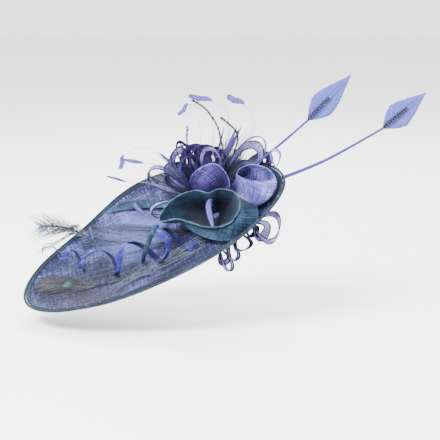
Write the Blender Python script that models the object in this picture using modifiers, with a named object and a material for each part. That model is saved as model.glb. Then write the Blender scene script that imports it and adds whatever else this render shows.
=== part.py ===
"""Saucer fascinator: an oval dish of stiffened open weave with a wired rim, worn tilted on a comb,
dressed with a rolled horn, two petals, sheer loops, quills, a curled quill and feathers.

Metres, +Z up. The pieces are laid out in the saucer's own frame, x along its length, y across it
towards the back, z out of the dish, and an empty tilts them all as the hat is worn. The origin is
where the comb meets the head. Tables hold shares: along of the half length, across of the half
width, up of the trim height above the dish.
"""

import math

import bmesh
import bpy
from mathutils import Euler, Vector

HALF_LENGTH = 0.227
HALF_WIDTH = 0.134
WALL = 0.0015
DISH_DEPTH = 0.015
RIM_LIFT = 0.020
NEAR_LIP = 0.010
FAR_LIP = 0.003
LIP_START = 0.93
UNDER_BED_ABOVE = 0.004
TRIM_HEIGHT = 0.050
GAP = 0.0003

FORWARD_TILT = math.radians(25)
SIDE_TILT = math.radians(-25)
SEAT_ALONG = 0.0
SEAT_ACROSS = 0.52

RIM_WIRE = 0.0020
PAD_RADIUS = 0.021
PAD_ALONG = 0.46
PAD_ACROSS = 0.34
PAD_SIDES = 16
CLOTH = 0.0012
FEATHER = 0.0010
BRISTLE = 0.0009
SHARP = math.radians(40)

# The side of the hat that is worn to the front, in the saucer's frame.
FRONT = Vector((0.073, -0.826, 0.559)).normalized()

# Height of the rim over its right end's level, as a share of RIM_LIFT, anticlockwise from the right.
RIM_LIFTS = (
    # degrees, lift
    (0, 0.15),
    (30, 0.25),
    (60, 0.60),
    (90, 1.00),
    (120, -0.25),
    (150, -0.25),
    (180, 0.00),
    (210, 0.40),
    (240, 0.65),
    (270, 0.80),
    (300, 0.60),
    (330, 0.45),
)

SAUCER_TURNS = 52
SAUCER_RINGS = (0.0, 0.14, 0.30, 0.46, 0.62, 0.78, 0.90, 0.93, 0.965, 1.0)


def clear_scene():
    for obj in list(bpy.data.objects):
        bpy.data.objects.remove(obj, do_unlink=True)


def collection(name):
    made = bpy.data.collections.new(name)
    bpy.context.scene.collection.children.link(made)
    return made


clear_scene()
PARTS = collection("saucer_fascinator")
CUTTERS = collection("cutters")


def blend(value):
    value = max(0.0, min(1.0, value))
    return value * value * (3 - 2 * value)


def rim_lift(turn):
    """The rim's height at an angle, smooth between the rows of RIM_LIFTS."""
    step = 360 / len(RIM_LIFTS)
    place = math.degrees(turn) % 360 / step
    first = int(place)
    heights = [RIM_LIFTS[(first + k) % len(RIM_LIFTS)][1] for k in (-1, 0, 1, 2)]
    return RIM_LIFT * catmull(heights, place - first)


def catmull(values, share):
    """A smooth value between the middle two of four."""
    a, b, c, d = values
    return b + 0.5 * share * (
        c - a + share * (2 * a - 5 * b + 4 * c - d + share * (3 * (b - c) + d - a))
    )


def dish(x, y):
    """Height of the dish's upper face. Beyond the rim it stays at the rim's height."""
    along, across = x / HALF_LENGTH, y / HALF_WIDTH
    out = min(1.0, math.hypot(along, across))
    turn = math.atan2(across, along)
    lip = (NEAR_LIP + FAR_LIP) / 2 - (NEAR_LIP - FAR_LIP) / 2 * math.sin(turn)
    turned_up = 1 - blend((out - LIP_START) / (1 - LIP_START))
    return rim_lift(turn) * out**3 - lip * turned_up - DISH_DEPTH * (1 - out**2)


def place(along, across, up):
    """A point at a share of the saucer's half length and width, up from the dish."""
    x, y = HALF_LENGTH * along, HALF_WIDTH * across
    return Vector((x, y, dish(x, y) + TRIM_HEIGHT * up))


PAD = place(PAD_ALONG, PAD_ACROSS, 0.0)


def through(points, count, closed=False):
    """That many points on a smooth curve through the rows, whatever their number of columns."""
    rows = [tuple(p) for p in points]
    spans = len(rows) if closed else len(rows) - 1
    steps = count if closed else count - 1
    curve = []
    for index in range(count):
        position = spans * index / steps
        first = min(int(position), spans - 1)
        picked = []
        for k in (-1, 0, 1, 2):
            at = (first + k) % len(rows) if closed else min(max(first + k, 0), spans)
            picked.append(rows[at])
        curve.append([catmull(column, position - first) for column in zip(*picked)])
    return curve


def give(name, bm, colour, roughness, group=None):
    """An object in the parts or the given collection, from a bmesh, with its own material."""
    mesh = bpy.data.meshes.new(name)
    bm.to_mesh(mesh)
    bm.free()
    mesh.shade_smooth()
    mesh.set_sharp_from_angle(angle=SHARP)
    obj = bpy.data.objects.new(name, mesh)
    (group or PARTS).objects.link(obj)
    if group:
        obj.hide_render = True
        obj.display_type = "WIRE"
    else:
        paint(obj, colour, roughness)
    obj.parent = TILT
    return obj


def linear(code):
    """An sRGB hex colour as linear values."""
    shares = [int(code[i : i + 2], 16) / 255 for i in (1, 3, 5)]
    return [s / 12.92 if s <= 0.04045 else ((s + 0.055) / 1.055) ** 2.4 for s in shares]


def paint(obj, colour, roughness, metallic=0.0):
    material = bpy.data.materials.new(obj.name)
    material.use_nodes = True
    shader = material.node_tree.nodes["Principled BSDF"]
    shader.inputs["Base Color"].default_value = (*linear(colour), 1)
    shader.inputs["Roughness"].default_value = roughness
    shader.inputs["Metallic"].default_value = metallic
    obj.data.materials.clear()
    obj.data.materials.append(material)


def boolean(obj, other, operation="DIFFERENCE"):
    made = obj.modifiers.new(operation.lower(), "BOOLEAN")
    made.operation = operation
    made.solver = "EXACT"
    made.object = other


def rings_mesh(rings, closed):
    """A body through rings of as many points each, capped at its ends unless it closes on itself."""
    bm = bmesh.new()
    made = [[bm.verts.new(point) for point in ring] for ring in rings]
    size = len(made[0])
    pairs = list(zip(made, made[1:]))
    if closed:
        pairs.append((made[-1], made[0]))
    for first, second in pairs:
        for k in range(size):
            after = (k + 1) % size
            bm.faces.new((first[k], first[after], second[after], second[k]))
    if not closed:
        bm.faces.new(reversed(made[0]))
        bm.faces.new(made[-1])
    bmesh.ops.recalc_face_normals(bm, faces=bm.faces)
    return bm


def tangents(points, closed):
    count = len(points)
    found = []
    for index in range(count):
        before = points[index - 1] if closed or index else points[0]
        after = points[(index + 1) % count] if closed or index < count - 1 else points[-1]
        found.append((after - before).normalized())
    return found


def band_rings(points, widths, leans, thick, closed=False, flat=True):
    """Sections of a ribbon or a vane: leans turns its face from the front to edge on, in degrees."""
    rings = []
    for point, run, width, lean in zip(points, tangents(points, closed), widths, leans):
        side = run.cross(FRONT).normalized()
        face = side.cross(run).normalized()
        angle = math.radians(lean)
        wide = side * math.cos(angle) + face * math.sin(angle)
        deep = face * math.cos(angle) - side * math.sin(angle)
        wide, deep = wide * max(width, thick) / 2, deep * thick / 2
        if flat:
            ring = [wide + deep, deep - wide, -wide - deep, wide - deep]
        else:
            ring = [wide, deep, -wide, -deep]
        rings.append([point + corner for corner in ring])
    return rings


def from_pad(point, deep=0.0):
    """Where a stem leaves the pad towards a point, one gap outside it or that deep within."""
    return PAD + (point - PAD).normalized() * (PAD_RADIUS + GAP - deep)


TILT = bpy.data.objects.new("worn_tilt", None)
PARTS.objects.link(TILT)


def turned_dish(rings):
    """The dish's upper face as a turned and then shaped surface, out to the last ring."""
    bm = bmesh.new()
    line = [bm.verts.new((share, 0, 0)) for share in rings]
    edges = [bm.edges.new(pair) for pair in zip(line, line[1:])]
    bmesh.ops.spin(
        bm,
        geom=edges + line,
        cent=(0, 0, 0),
        axis=(0, 0, 1),
        angle=math.tau,
        steps=SAUCER_TURNS,
        use_merge=True,
    )
    bmesh.ops.remove_doubles(bm, verts=bm.verts, dist=1e-6)
    for vert in bm.verts:
        x, y = HALF_LENGTH * vert.co.x, HALF_WIDTH * vert.co.y
        vert.co = (x, y, dish(x, y))
    bmesh.ops.recalc_face_normals(bm, faces=bm.faces)
    if sum(face.normal.z for face in bm.faces) < 0:
        bmesh.ops.reverse_faces(bm, faces=bm.faces)
    return bm


def make_saucer():
    obj = give("saucer", turned_dish(SAUCER_RINGS), "#5a5fa0", 0.75)
    wall = obj.modifiers.new("wall", "SOLIDIFY")
    wall.thickness = WALL
    wall.offset = -1
    return obj


def make_bed():
    """A cutter under the dish's upper face and one gap over it, for what lies in the dish."""
    bm = turned_dish(SAUCER_RINGS)
    for vert in bm.verts:
        vert.co.z += GAP
    low = bmesh.ops.extrude_face_region(bm, geom=list(bm.faces))
    for item in low["geom"]:
        if isinstance(item, bmesh.types.BMVert):
            item.co.z -= TRIM_HEIGHT
    bmesh.ops.recalc_face_normals(bm, faces=bm.faces)
    return give("bed_cutter", bm, "", 0, CUTTERS)


def make_under_bed():
    """A cutter from one gap under the dish up into it, for what is sewn beneath the brim."""
    obj = give("under_cutter", turned_dish(SAUCER_RINGS), "", 0, CUTTERS)
    below = WALL + GAP
    wall = obj.modifiers.new("wall", "SOLIDIFY")
    wall.thickness = below + UNDER_BED_ABOVE
    wall.offset = (UNDER_BED_ABOVE - below) / wall.thickness
    return obj


def ball(radius):
    """The pad's ball, or one a gap larger."""
    bm = bmesh.new()
    bmesh.ops.create_uvsphere(bm, u_segments=PAD_SIDES, v_segments=PAD_SIDES // 2, radius=radius)
    bmesh.ops.translate(bm, verts=bm.verts, vec=PAD)
    return bm


def wire(name, points, radius, colour, roughness, closed=False, radii=None):
    curve = bpy.data.curves.new(name, "CURVE")
    curve.dimensions = "3D"
    curve.bevel_depth = radius
    curve.bevel_resolution = 2
    curve.use_fill_caps = True
    spline = curve.splines.new("POLY")
    spline.points.add(len(points) - 1)
    for index, (item, point) in enumerate(zip(spline.points, points)):
        item.co = (*point, 1)
        item.radius = radii[index] if radii else 1
    spline.use_cyclic_u = closed
    obj = bpy.data.objects.new(name, curve)
    PARTS.objects.link(obj)
    paint(obj, colour, roughness)
    obj.parent = TILT
    return obj


def rim_point(turn):
    """The middle of the rim wire, which lies against the saucer's edge."""
    x, y = HALF_LENGTH * math.cos(turn), HALF_WIDTH * math.sin(turn)
    out = Vector((x / HALF_LENGTH**2, y / HALF_WIDTH**2, 0)).normalized()
    inner = Vector((x, y, 0)) - out * RIM_WIRE
    steep = max(0.0, (dish(x, y) - dish(inner.x, inner.y)) / RIM_WIRE)
    return Vector((x, y, dish(x, y) - WALL / 2)) + out * (RIM_WIRE + GAP + WALL * steep)


def make_rim():
    points = [rim_point(math.tau * index / SAUCER_TURNS) for index in range(SAUCER_TURNS)]
    wire("rim_wire", points, RIM_WIRE, "#1f5560", 0.6, closed=True)


RIM_BED_SIDES = 12


def make_rim_bed():
    """A cutter one gap round the rim wire, for what is sewn to it."""
    points = [rim_point(math.tau * index / SAUCER_TURNS) for index in range(SAUCER_TURNS)]
    rings = []
    for point, run in zip(points, tangents(points, True)):
        side = run.cross(Vector((0, 0, 1))).normalized()
        over = side.cross(run).normalized()
        ring = []
        for k in range(RIM_BED_SIDES):
            turn = math.tau * k / RIM_BED_SIDES
            ring.append(point + (side * math.cos(turn) + over * math.sin(turn)) * (RIM_WIRE + GAP))
        rings.append(ring)
    return give("rim_cutter", rings_mesh(rings, True), "", 0, CUTTERS)


COMB_LENGTH = 0.072
COMB_BAR = 0.005
COMB_TOOTH = 0.028
COMB_THICK = 0.0022
COMB_TEETH = 14
SEAT_SAMPLES = 4


def make_comb():
    """The comb that holds the hat in the hair, as one outline of bar and teeth."""
    pitch = COMB_LENGTH / (2 * COMB_TEETH - 1)
    top = (COMB_BAR + COMB_TOOTH) / 2
    outline = [(-COMB_LENGTH / 2, top)]
    for tooth in range(COMB_TEETH):
        left = -COMB_LENGTH / 2 + 2 * pitch * tooth
        outline += [(left, -top), (left + pitch, -top)]
        if tooth < COMB_TEETH - 1:
            outline += [(left + pitch, top - COMB_BAR), (left + 2 * pitch, top - COMB_BAR)]
    outline.append((COMB_LENGTH / 2, top))
    curve = bpy.data.curves.new("comb", "CURVE")
    curve.dimensions = "2D"
    curve.fill_mode = "BOTH"
    curve.extrude = COMB_THICK / 2
    spline = curve.splines.new("POLY")
    spline.points.add(len(outline) - 1)
    for item, (x, y) in zip(spline.points, outline):
        item.co = (x, y, 0, 1)
    spline.use_cyclic_u = True
    obj = bpy.data.objects.new("comb", curve)
    PARTS.objects.link(obj)
    paint(obj, "#20242c", 0.4)
    obj.parent = TILT
    obj.rotation_euler = dish_up(SEAT_ALONG, SEAT_ACROSS).to_track_quat("Z", "Y").to_euler()
    obj.location = seat(COMB_THICK / 2)


def dish_up(along, across):
    """The direction square to the dish there."""
    step = WALL / HALF_LENGTH
    here = place(along, across, 0)
    first = place(along + step, across, 0) - here
    return first.cross(place(along, across + step, 0) - here).normalized()


def seat(deep):
    """A point that deep below the comb's upper face, in the middle of it.

    The comb is straight and the dish is not, so it hangs from the dish's lowest point over it.
    """
    up = dish_up(SEAT_ALONG, SEAT_ACROSS)
    middle = place(SEAT_ALONG, SEAT_ACROSS, 0)
    reach = COMB_LENGTH / 2 / HALF_LENGTH, (COMB_BAR + COMB_TOOTH) / 2 / HALF_WIDTH
    drops = []
    shares = [k / SEAT_SAMPLES for k in range(-SEAT_SAMPLES, SEAT_SAMPLES + 1)]
    for i in shares:
        for j in shares:
            over = place(SEAT_ALONG + reach[0] * i, SEAT_ACROSS + reach[1] * j, 0)
            drops.append((middle - over).dot(up))
    return middle - up * (max(drops) + WALL + GAP + deep)


# The horn's mouth, from its left tip over the top, round the right and back under.
HORN_LIP = (
    # along, across, up
    (0.10, -0.04, 1.00),
    (0.15, 0.09, 1.04),
    (0.23, 0.15, 1.12),
    (0.33, 0.13, 1.20),
    (0.43, 0.03, 1.26),
    (0.50, -0.13, 1.26),
    (0.58, -0.18, 1.28),
    (0.67, -0.36, 1.16),
    (0.68, -0.60, 0.96),
    (0.62, -0.73, 0.72),
    (0.51, -0.70, 0.70),
    (0.40, -0.55, 0.80),
    (0.31, -0.34, 0.92),
    (0.22, -0.14, 0.98),
)
HORN_MIDDLE = (0.48, -0.22, 0.95)
HORN_ROOT = (0.46, 0.07, 0.0)
HORN_THROAT = 0.007
HORN_SWELL = 0.2
HORN_AROUND = 28
HORN_DOWN = 7


def horn_point(around, down):
    """A point on the horn: around its mouth from the left tip, down from lip to root."""
    rows = [Vector(row) for row in HORN_LIP]
    at = around % 1 * len(rows)
    first = int(at)
    near = [rows[(first + k) % len(rows)] for k in (-1, 0, 1, 2)]
    share = Vector([catmull(column, at - first) for column in zip(*near)])
    lip = place(*share)
    turn = math.pi - math.tau * around
    root = place(*HORN_ROOT) + HORN_THROAT * Vector((math.cos(turn), math.sin(turn), 0))
    belly = (lip + root) / 2 + HORN_SWELL * (lip - place(*HORN_MIDDLE))
    return (
        lip * (1 - down) ** 2
        + (belly * 2 - (lip + root) / 2) * 2 * down * (1 - down)
        + root * down**2
    )


def horn_out(around, down):
    """The direction square to the horn's wall there, away from its inside."""
    here = horn_point(around, down)
    step = 0.01
    out = (horn_point(around + step, down) - here).cross(horn_point(around, down + step) - here)
    inside = place(*HORN_MIDDLE) - here
    return out.normalized() * (-1 if out.dot(inside) > 0 else 1)


def sheet(name, grid, colour, roughness, closed=False, thick=CLOTH):
    """A cloth of one thickness through a grid of points, closed round its first direction or not."""
    bm = bmesh.new()
    made = [[bm.verts.new(point) for point in row] for row in grid]
    pairs = list(zip(made, made[1:]))
    if closed:
        pairs.append((made[-1], made[0]))
    for first, second in pairs:
        for k in range(len(first) - 1):
            bm.faces.new((first[k], first[k + 1], second[k + 1], second[k]))
    bmesh.ops.recalc_face_normals(bm, faces=bm.faces)
    obj = give(name, bm, colour, roughness)
    wall = obj.modifiers.new("wall", "SOLIDIFY")
    wall.thickness = thick
    wall.offset = 0
    return obj


def make_horn(bed):
    grid = [
        [horn_point(i / HORN_AROUND, j / (HORN_DOWN - 1)) for j in range(HORN_DOWN)]
        for i in range(HORN_AROUND)
    ]
    obj = sheet("horn", grid, "#1f5866", 0.7, closed=True)
    boolean(obj, bed)


# The wrap's outer edge, and where round the horn's mouth its inner edge tucks in behind it.
WRAP_ROWS = (
    # around, along, across, up
    (0.93, 0.23, -0.05, 0.52),
    (0.88, 0.25, -0.10, 0.50),
    (0.83, 0.30, -0.29, 0.44),
    (0.78, 0.38, -0.50, 0.30),
    (0.72, 0.47, -0.66, 0.16),
    (0.66, 0.56, -0.71, 0.04),
    (0.60, 0.66, -0.63, 0.04),
    (0.55, 0.74, -0.53, 0.06),
    (0.51, 0.77, -0.42, 0.30),
)
WRAP_TUCK = 0.22
WRAP_CLEAR = 0.0005
WRAP_AROUND = 16
WRAP_ACROSS = 5


def make_wrap(bed):
    grid = []
    for around, along, across, up in through(WRAP_ROWS, WRAP_AROUND):
        outer = place(along, across, up)
        inner = horn_point(around, WRAP_TUCK)
        inner += horn_out(around, WRAP_TUCK) * (CLOTH + GAP + WRAP_CLEAR)
        grid.append([outer.lerp(inner, k / (WRAP_ACROSS - 1)) for k in range(WRAP_ACROSS)])
    obj = sheet("wrap", grid, "#1d4f5e", 0.7)
    boolean(obj, bed)


def section(lip, belly, root, count):
    """Points from lip through belly to root."""
    bend = belly * 2 - (lip + root) / 2
    shares = [k / (count - 1) for k in range(count)]
    return [lip * (1 - s) ** 2 + bend * 2 * s * (1 - s) + root * s * s for s in shares]


# The upright petal's edge from left to right, and the middle of its face below each point.
UPRIGHT_PETAL = (
    # lip along, across, up, belly along, across, up
    (0.39, 0.22, 1.25, 0.41, 0.20, 0.62),
    (0.45, 0.21, 1.54, 0.45, 0.15, 0.84),
    (0.54, 0.18, 1.66, 0.50, 0.12, 0.92),
    (0.61, 0.15, 1.63, 0.55, 0.11, 0.90),
    (0.65, 0.11, 1.40, 0.58, 0.11, 0.76),
    (0.66, 0.06, 1.05, 0.59, 0.10, 0.56),
    (0.64, 0.02, 0.76, 0.58, 0.10, 0.42),
)
# The cup petal's mouth, from the back left round the right to the front, and its belly.
CUP_PETAL = (
    # lip along, across, up, belly along, across, up
    (0.77, 0.20, 0.87, 0.69, 0.25, 0.44),
    (0.84, 0.21, 0.77, 0.75, 0.25, 0.38),
    (0.89, 0.17, 0.64, 0.81, 0.19, 0.30),
    (0.94, 0.07, 0.52, 0.87, 0.06, 0.22),
    (0.95, -0.07, 0.38, 0.88, -0.16, 0.16),
    (0.88, -0.18, 0.65, 0.82, -0.33, 0.18),
    (0.80, -0.09, 0.79, 0.75, -0.30, 0.24),
    (0.73, 0.07, 0.90, 0.70, -0.10, 0.36),
    (0.73, 0.18, 0.84, 0.66, 0.20, 0.42),
)
CUP_ROOT = (0.56, 0.20, 0.14)
CUP_THROAT = 0.008
CUP_FROM = 120
CUP_AROUND = 20
# Where round the pad the upright petal's root starts and how far it goes, in degrees.
UPRIGHT_FROM = 215
UPRIGHT_SWEEP = 110
UPRIGHT_RISE = 0.4
UPRIGHT_ROOT = 0.010
UPRIGHT_AROUND = 13
PETAL_DOWN = 7


def make_upright_petal(pad_cutter):
    grid = []
    rows = through(UPRIGHT_PETAL, UPRIGHT_AROUND)
    for index, row in enumerate(rows):
        lip, belly = place(*row[:3]), place(*row[3:])
        share = index / (len(rows) - 1)
        turn = math.radians(UPRIGHT_FROM + UPRIGHT_SWEEP * share)
        out = Vector((math.cos(turn), math.sin(turn), UPRIGHT_RISE))
        root = PAD + out * (PAD_RADIUS - UPRIGHT_ROOT / 2)
        grid.append(section(lip, belly, root, PETAL_DOWN))
    obj = sheet("upright_petal", grid, "#5d53a4", 0.65)
    boolean(obj, pad_cutter)


def make_cup_petal(pad_cutter, bed):
    grid = []
    rows = through(CUP_PETAL, CUP_AROUND, closed=True)
    centre = place(*CUP_ROOT)
    for index, row in enumerate(rows):
        lip, belly = place(*row[:3]), place(*row[3:])
        turn = math.radians(CUP_FROM) - math.tau * index / len(rows)
        root = centre + CUP_THROAT * Vector((0, math.cos(turn), math.sin(turn)))
        grid.append(section(lip, belly, root, PETAL_DOWN))
    obj = sheet("cup_petal", grid, "#6a66b4", 0.65, closed=True)
    boolean(obj, pad_cutter)
    boolean(obj, bed)


def ribbon(name, rows, colour, roughness, thick=CLOTH, count=12, flat=True, cut=None):
    """A strip through rows of along, across, up, width and lean."""
    curve = through(rows, count)
    points = [place(*row[:3]) for row in curve]
    rings = band_rings(points, [r[3] for r in curve], [r[4] for r in curve], thick, False, flat)
    obj = give(name, rings_mesh(rings, False), colour, roughness)
    for cutter in cut or ():
        boolean(obj, cutter)
    return obj


HORN_TAIL = (
    # along, across, up, width, lean
    (0.07, -0.02, 0.90, 0.008, 20),
    (0.02, -0.10, 0.86, 0.007, 10),
    (-0.02, -0.16, 0.76, 0.007, 10),
    (-0.08, -0.27, 0.58, 0.006, 0),
    (-0.12, -0.25, 0.30, 0.005, 0),
    (-0.14, -0.18, 0.01, 0.003, 0),
)
SIDE_LEAF = (
    # along, across, up, width, lean
    (-0.28, 0.91, 0.04, 0.002, 50),
    (-0.16, 0.86, 0.07, 0.014, 50),
    (-0.01, 0.75, 0.10, 0.018, 50),
    (0.12, 0.62, 0.14, 0.018, 50),
    (0.22, 0.52, 0.22, 0.014, 40),
    (0.33, 0.40, 0.30, 0.008, 30),
)
THROAT_RIBBON = (
    # along, across, up, width, lean
    (0.48, -0.05, 0.76, 0.007, 0),
    (0.48, -0.09, 0.86, 0.010, 0),
    (0.46, -0.20, 0.92, 0.009, 0),
    (0.45, -0.38, 0.90, 0.008, 0),
)
EYE_FEATHER = (
    # along, across, up, width, lean
    (-0.11, -0.48, 0.02, 0.002, -56),
    (-0.31, -0.35, 0.02, 0.002, -56),
    (-0.49, -0.24, 0.02, 0.003, -56),
    (-0.57, -0.16, 0.02, 0.022, -56),
    (-0.66, -0.05, 0.03, 0.040, -56),
    (-0.76, 0.07, 0.04, 0.040, -56),
    (-0.88, 0.20, 0.05, 0.014, -56),
)
GREY_FEATHER = (
    # along, across, up, width, lean
    (0.20, -0.06, 0.014, 0.002, -56),
    (-0.03, 0.08, 0.014, 0.002, -56),
    (-0.20, 0.32, 0.014, 0.002, -56),
    (-0.35, 0.52, 0.03, 0.003, -40),
    (-0.48, 0.70, 0.18, 0.008, -20),
    (-0.57, 0.78, 0.52, 0.020, 0),
    (-0.66, 0.81, 0.76, 0.018, 0),
    (-0.75, 0.82, 0.96, 0.002, 0),
)
DISH_FEATHER = (
    # along, across, up, width, lean
    (-0.01, 0.58, 0.014, 0.001, 0),
    (-0.03, 0.64, 0.10, 0.006, 0),
    (-0.05, 0.69, 0.20, 0.007, 0),
    (-0.06, 0.74, 0.26, 0.003, 0),
)


# Where round the horn's mouth and how far down its wall the throat ribbon comes to rest.
THROAT_END = 0.76
THROAT_DOWN = 0.08
THROAT_END_WIDTH = 0.004
THROAT_STEPS = 11


def make_throat_ribbon():
    """A ribbon that stands in the horn's throat and comes down on its wall just inside the lip."""
    rise = (CLOTH + FEATHER) / 2 + GAP + 2 * WRAP_CLEAR
    end = horn_point(THROAT_END, THROAT_DOWN) - horn_out(THROAT_END, THROAT_DOWN) * rise
    curve = [place(*row[:3]) for row in THROAT_RIBBON] + [end]
    widths = [row[3] for row in THROAT_RIBBON] + [THROAT_END_WIDTH]
    points = [Vector(p) for p in through(curve, THROAT_STEPS)]
    spans = [row[0] for row in through([(w,) for w in widths], THROAT_STEPS)]
    rings = band_rings(points, spans, [0] * THROAT_STEPS, FEATHER)
    give("throat_ribbon", rings_mesh(rings, False), "#6463b8", 0.6)


def make_strips(bed):
    ribbon("horn_tail", HORN_TAIL, "#1f6470", 0.65, cut=[bed])
    ribbon("side_leaf", SIDE_LEAF, "#2a7480", 0.7, cut=[bed])
    make_throat_ribbon()
    ribbon("eye_feather", EYE_FEATHER, "#565a70", 0.6, FEATHER, 16, False, [bed])
    ribbon("grey_feather", GREY_FEATHER, "#8aa0a4", 0.6, FEATHER, 18, False, [bed])
    ribbon("dish_feather", DISH_FEATHER, "#5a55b0", 0.6, FEATHER, 9, False, [bed])


# Teardrop loops of sheer ribbon: where they turn back, how far they open and how far their plane
# turns from the front, which shows the ribbon's width.
PAD_LOOPS = (
    # name, tip along, across, up, open, width, turned, colour
    ("dark_edged_loop", 0.15, 0.68, 1.30, 0.030, 0.010, 40, "#8a86c4"),
    ("horn_side_loop", 0.06, 0.23, 0.92, 0.022, 0.008, 40, "#8a86c4"),
    ("tall_sheer_loop", 0.985, 0.57, 0.63, 0.038, 0.014, 8, "#8a86c4"),
    ("dark_arc_loop", 0.40, 0.46, 2.10, 0.050, 0.008, -35, "#2c2858"),
    ("small_arc_loop", 0.42, 0.28, 2.03, 0.034, 0.006, -35, "#2c2858"),
)
BRIM_LOOPS = (
    # name, base along, across, tip along, across, up, open, width, turned, colour
    ("side_sheer_loop", 0.68, -0.46, 0.84, -0.56, -0.88, 0.044, 0.016, 40, "#8a86c4"),
    ("dark_brim_loop", 0.58, -0.56, 0.57, -0.67, -0.54, 0.026, 0.009, 40, "#2c2858"),
    ("violet_brim_loop", 0.50, -0.60, 0.48, -0.69, -0.68, 0.015, 0.008, 40, "#2c2858"),
    ("drop_loop", 0.42, -0.62, 0.42, -0.70, -0.92, 0.013, 0.007, 40, "#2c2858"),
)
FAR_LOOP = ("far_sheer_loop", 13, 1.04, 0.24, 0.62, 0.015, 0.006, 20, "#8a86c4")
LOOP_STEPS = 18
LOOP_NECK = 0.25
LOOP_FULL = 0.70
LOOP_GATHER = 0.25


def loop(name, start, tip, opening, width, turned, colour, cutter):
    """A ribbon that leaves start gathered, opens and comes back over its tip."""
    length = (tip - start).length
    run = (tip - start).normalized()
    side = run.cross(FRONT).normalized()
    face = side.cross(run).normalized()
    angle = math.radians(turned)
    wide = face * math.cos(angle) - side * math.sin(angle)
    spread = (side + face * math.tan(angle)) * opening * LOOP_FULL
    outs = []
    points = []
    for index in range(LOOP_STEPS):
        turn = math.tau * index / LOOP_STEPS
        out = (1 - math.cos(turn)) / 2
        outs.append(LOOP_GATHER + (1 - LOOP_GATHER) * out)
        bowed = math.sin(turn) * (LOOP_NECK + (1 - LOOP_NECK) * out)
        points.append(start + run * length * out + spread * bowed)
    rings = []
    for point, along, share in zip(points, tangents(points, True), outs):
        across, deep = wide * width * share / 2, along.cross(wide).normalized() * CLOTH / 2
        corners = (across + deep, deep - across, -across - deep, across - deep)
        rings.append([point + corner for corner in corners])
    obj = give(name, rings_mesh(rings, True), colour, 0.6)
    boolean(obj, cutter)


def make_loops(pad_cutter, under_bed, rim_bed):
    for name, along, across, up, *sizes in PAD_LOOPS:
        tip = place(along, across, up)
        loop(name, from_pad(tip, CLOTH), tip, *sizes, pad_cutter)
    for name, along, across, tip_along, tip_across, up, *sizes in BRIM_LOOPS:
        under = place(along, across, 0) - dish_up(along, across) * (WALL + GAP - CLOTH)
        loop(name, under, place(tip_along, tip_across, up), *sizes, under_bed)
    name, degrees, along, across, up, *sizes = FAR_LOOP
    loop(name, rim_point(math.radians(degrees)), place(along, across, up), *sizes, rim_bed)


# Coque feathers on bare stems: a point that the stem passes, then the vane's two ends.
COQUE = (
    # name, stem along, across, up, near along, across, up, far along, across, up, width
    ("coque_top", 0.84, 0.24, 2.60, 0.80, 0.22, 3.50, 0.67, 0.22, 4.10, 0.009),
    ("coque_left_top", 0.74, 0.20, 3.00, 0.65, 0.15, 3.95, 0.55, 0.11, 3.90, 0.0065),
    ("coque_right", 0.96, 0.40, 1.40, 0.98, 0.37, 2.40, 0.90, 0.37, 3.00, 0.010),
    ("coque_upper_left", 0.23, 0.60, 2.25, 0.07, 0.45, 2.80, 0.00, 0.41, 2.50, 0.008),
    ("coque_middle_left", 0.28, 0.49, 1.62, 0.16, 0.56, 1.95, 0.04, 0.60, 2.30, 0.0064),
    ("coque_lower_left", 0.15, 0.42, 1.44, 0.00, 0.46, 1.81, -0.11, 0.39, 2.51, 0.004),
)
# Twisted spines and the bare upright stem.
SPINES = (
    # name, points of along, across, up
    (
        "long_spine",
        (
            (0.68, 0.20, 1.50),
            (0.73, 0.22, 2.15),
            (0.75, 0.19, 2.80),
            (0.73, 0.13, 3.60),
            (0.68, 0.11, 4.10),
        ),
    ),
    ("short_spine", ((0.76, 0.46, 0.95), (0.84, 0.44, 1.50), (0.82, 0.43, 2.05), (0.79, 0.45, 2.35))),
    ("bare_stem", ((0.42, 0.40, 0.76), (0.44, 0.42, 1.49), (0.50, 0.42, 2.24), (0.55, 0.43, 2.74))),
)
SPINE_RADIUS = 0.0009
SPINE_STEPS = 11


COQUE_BELLY = 0.55
COQUE_END = 0.35
COQUE_LEAN = 20
COQUE_STEPS = 17


def make_coque():
    for name, *numbers, width in COQUE:
        stem, near, far = (place(*numbers[k : k + 3]) for k in (0, 3, 6))
        first = from_pad(stem)
        middle = near.lerp(far, COQUE_BELLY)
        rows = [(*first, BRISTLE), (*stem, BRISTLE), (*near, BRISTLE)]
        rows += [(*middle, width), (*far, width * COQUE_END)]
        curve = through(rows, COQUE_STEPS)
        points = [Vector(row[:3]) for row in curve]
        widths = [row[3] for row in curve]
        rings = band_rings(points, widths, [COQUE_LEAN] * COQUE_STEPS, BRISTLE, False, False)
        give(name, rings_mesh(rings, False), "#7a76c0", 0.6)


def make_spines():
    for name, shares in SPINES:
        stops = [place(*share) for share in shares]
        points = through([from_pad(stops[0])] + stops, SPINE_STEPS)
        wire(name, [Vector(p) for p in points], SPINE_RADIUS, "#2a2c4a", 0.6)


# Arrow quills: stem points, then the vane's base, tip and its two widest corners' share of width.
QUILL_ROOT_RADIUS = 0.0022
QUILL_TIP_RADIUS = 0.0012
VANE_THICK = 0.0012
VANE_CLEAR = 0.0007
VANE_WIDTH = 0.042
QUILL_STEPS = 12
UPPER_QUILL = ((0.70, 0.29, 0.34), (0.89, 0.30, 0.52), (1.10, 0.30, 0.66), (1.33, 0.30, 1.02))
UPPER_TIP = (1.74, 0.30, 1.90)
LOWER_QUILL = ((0.99, 0.05, -0.10), (1.34, -0.06, 0.00), (1.78, -0.15, 0.34))
LOWER_TIP = (2.15, -0.19, 0.95)
VANE_SHAPE = (
    # share of length, share of width
    (0.00, 0.08),
    (0.06, 0.30),
    (0.16, 0.66),
    (0.26, 0.92),
    (0.36, 1.00),
    (0.50, 0.86),
    (0.65, 0.62),
    (0.80, 0.36),
    (0.92, 0.14),
    (1.00, 0.03),
)
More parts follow.
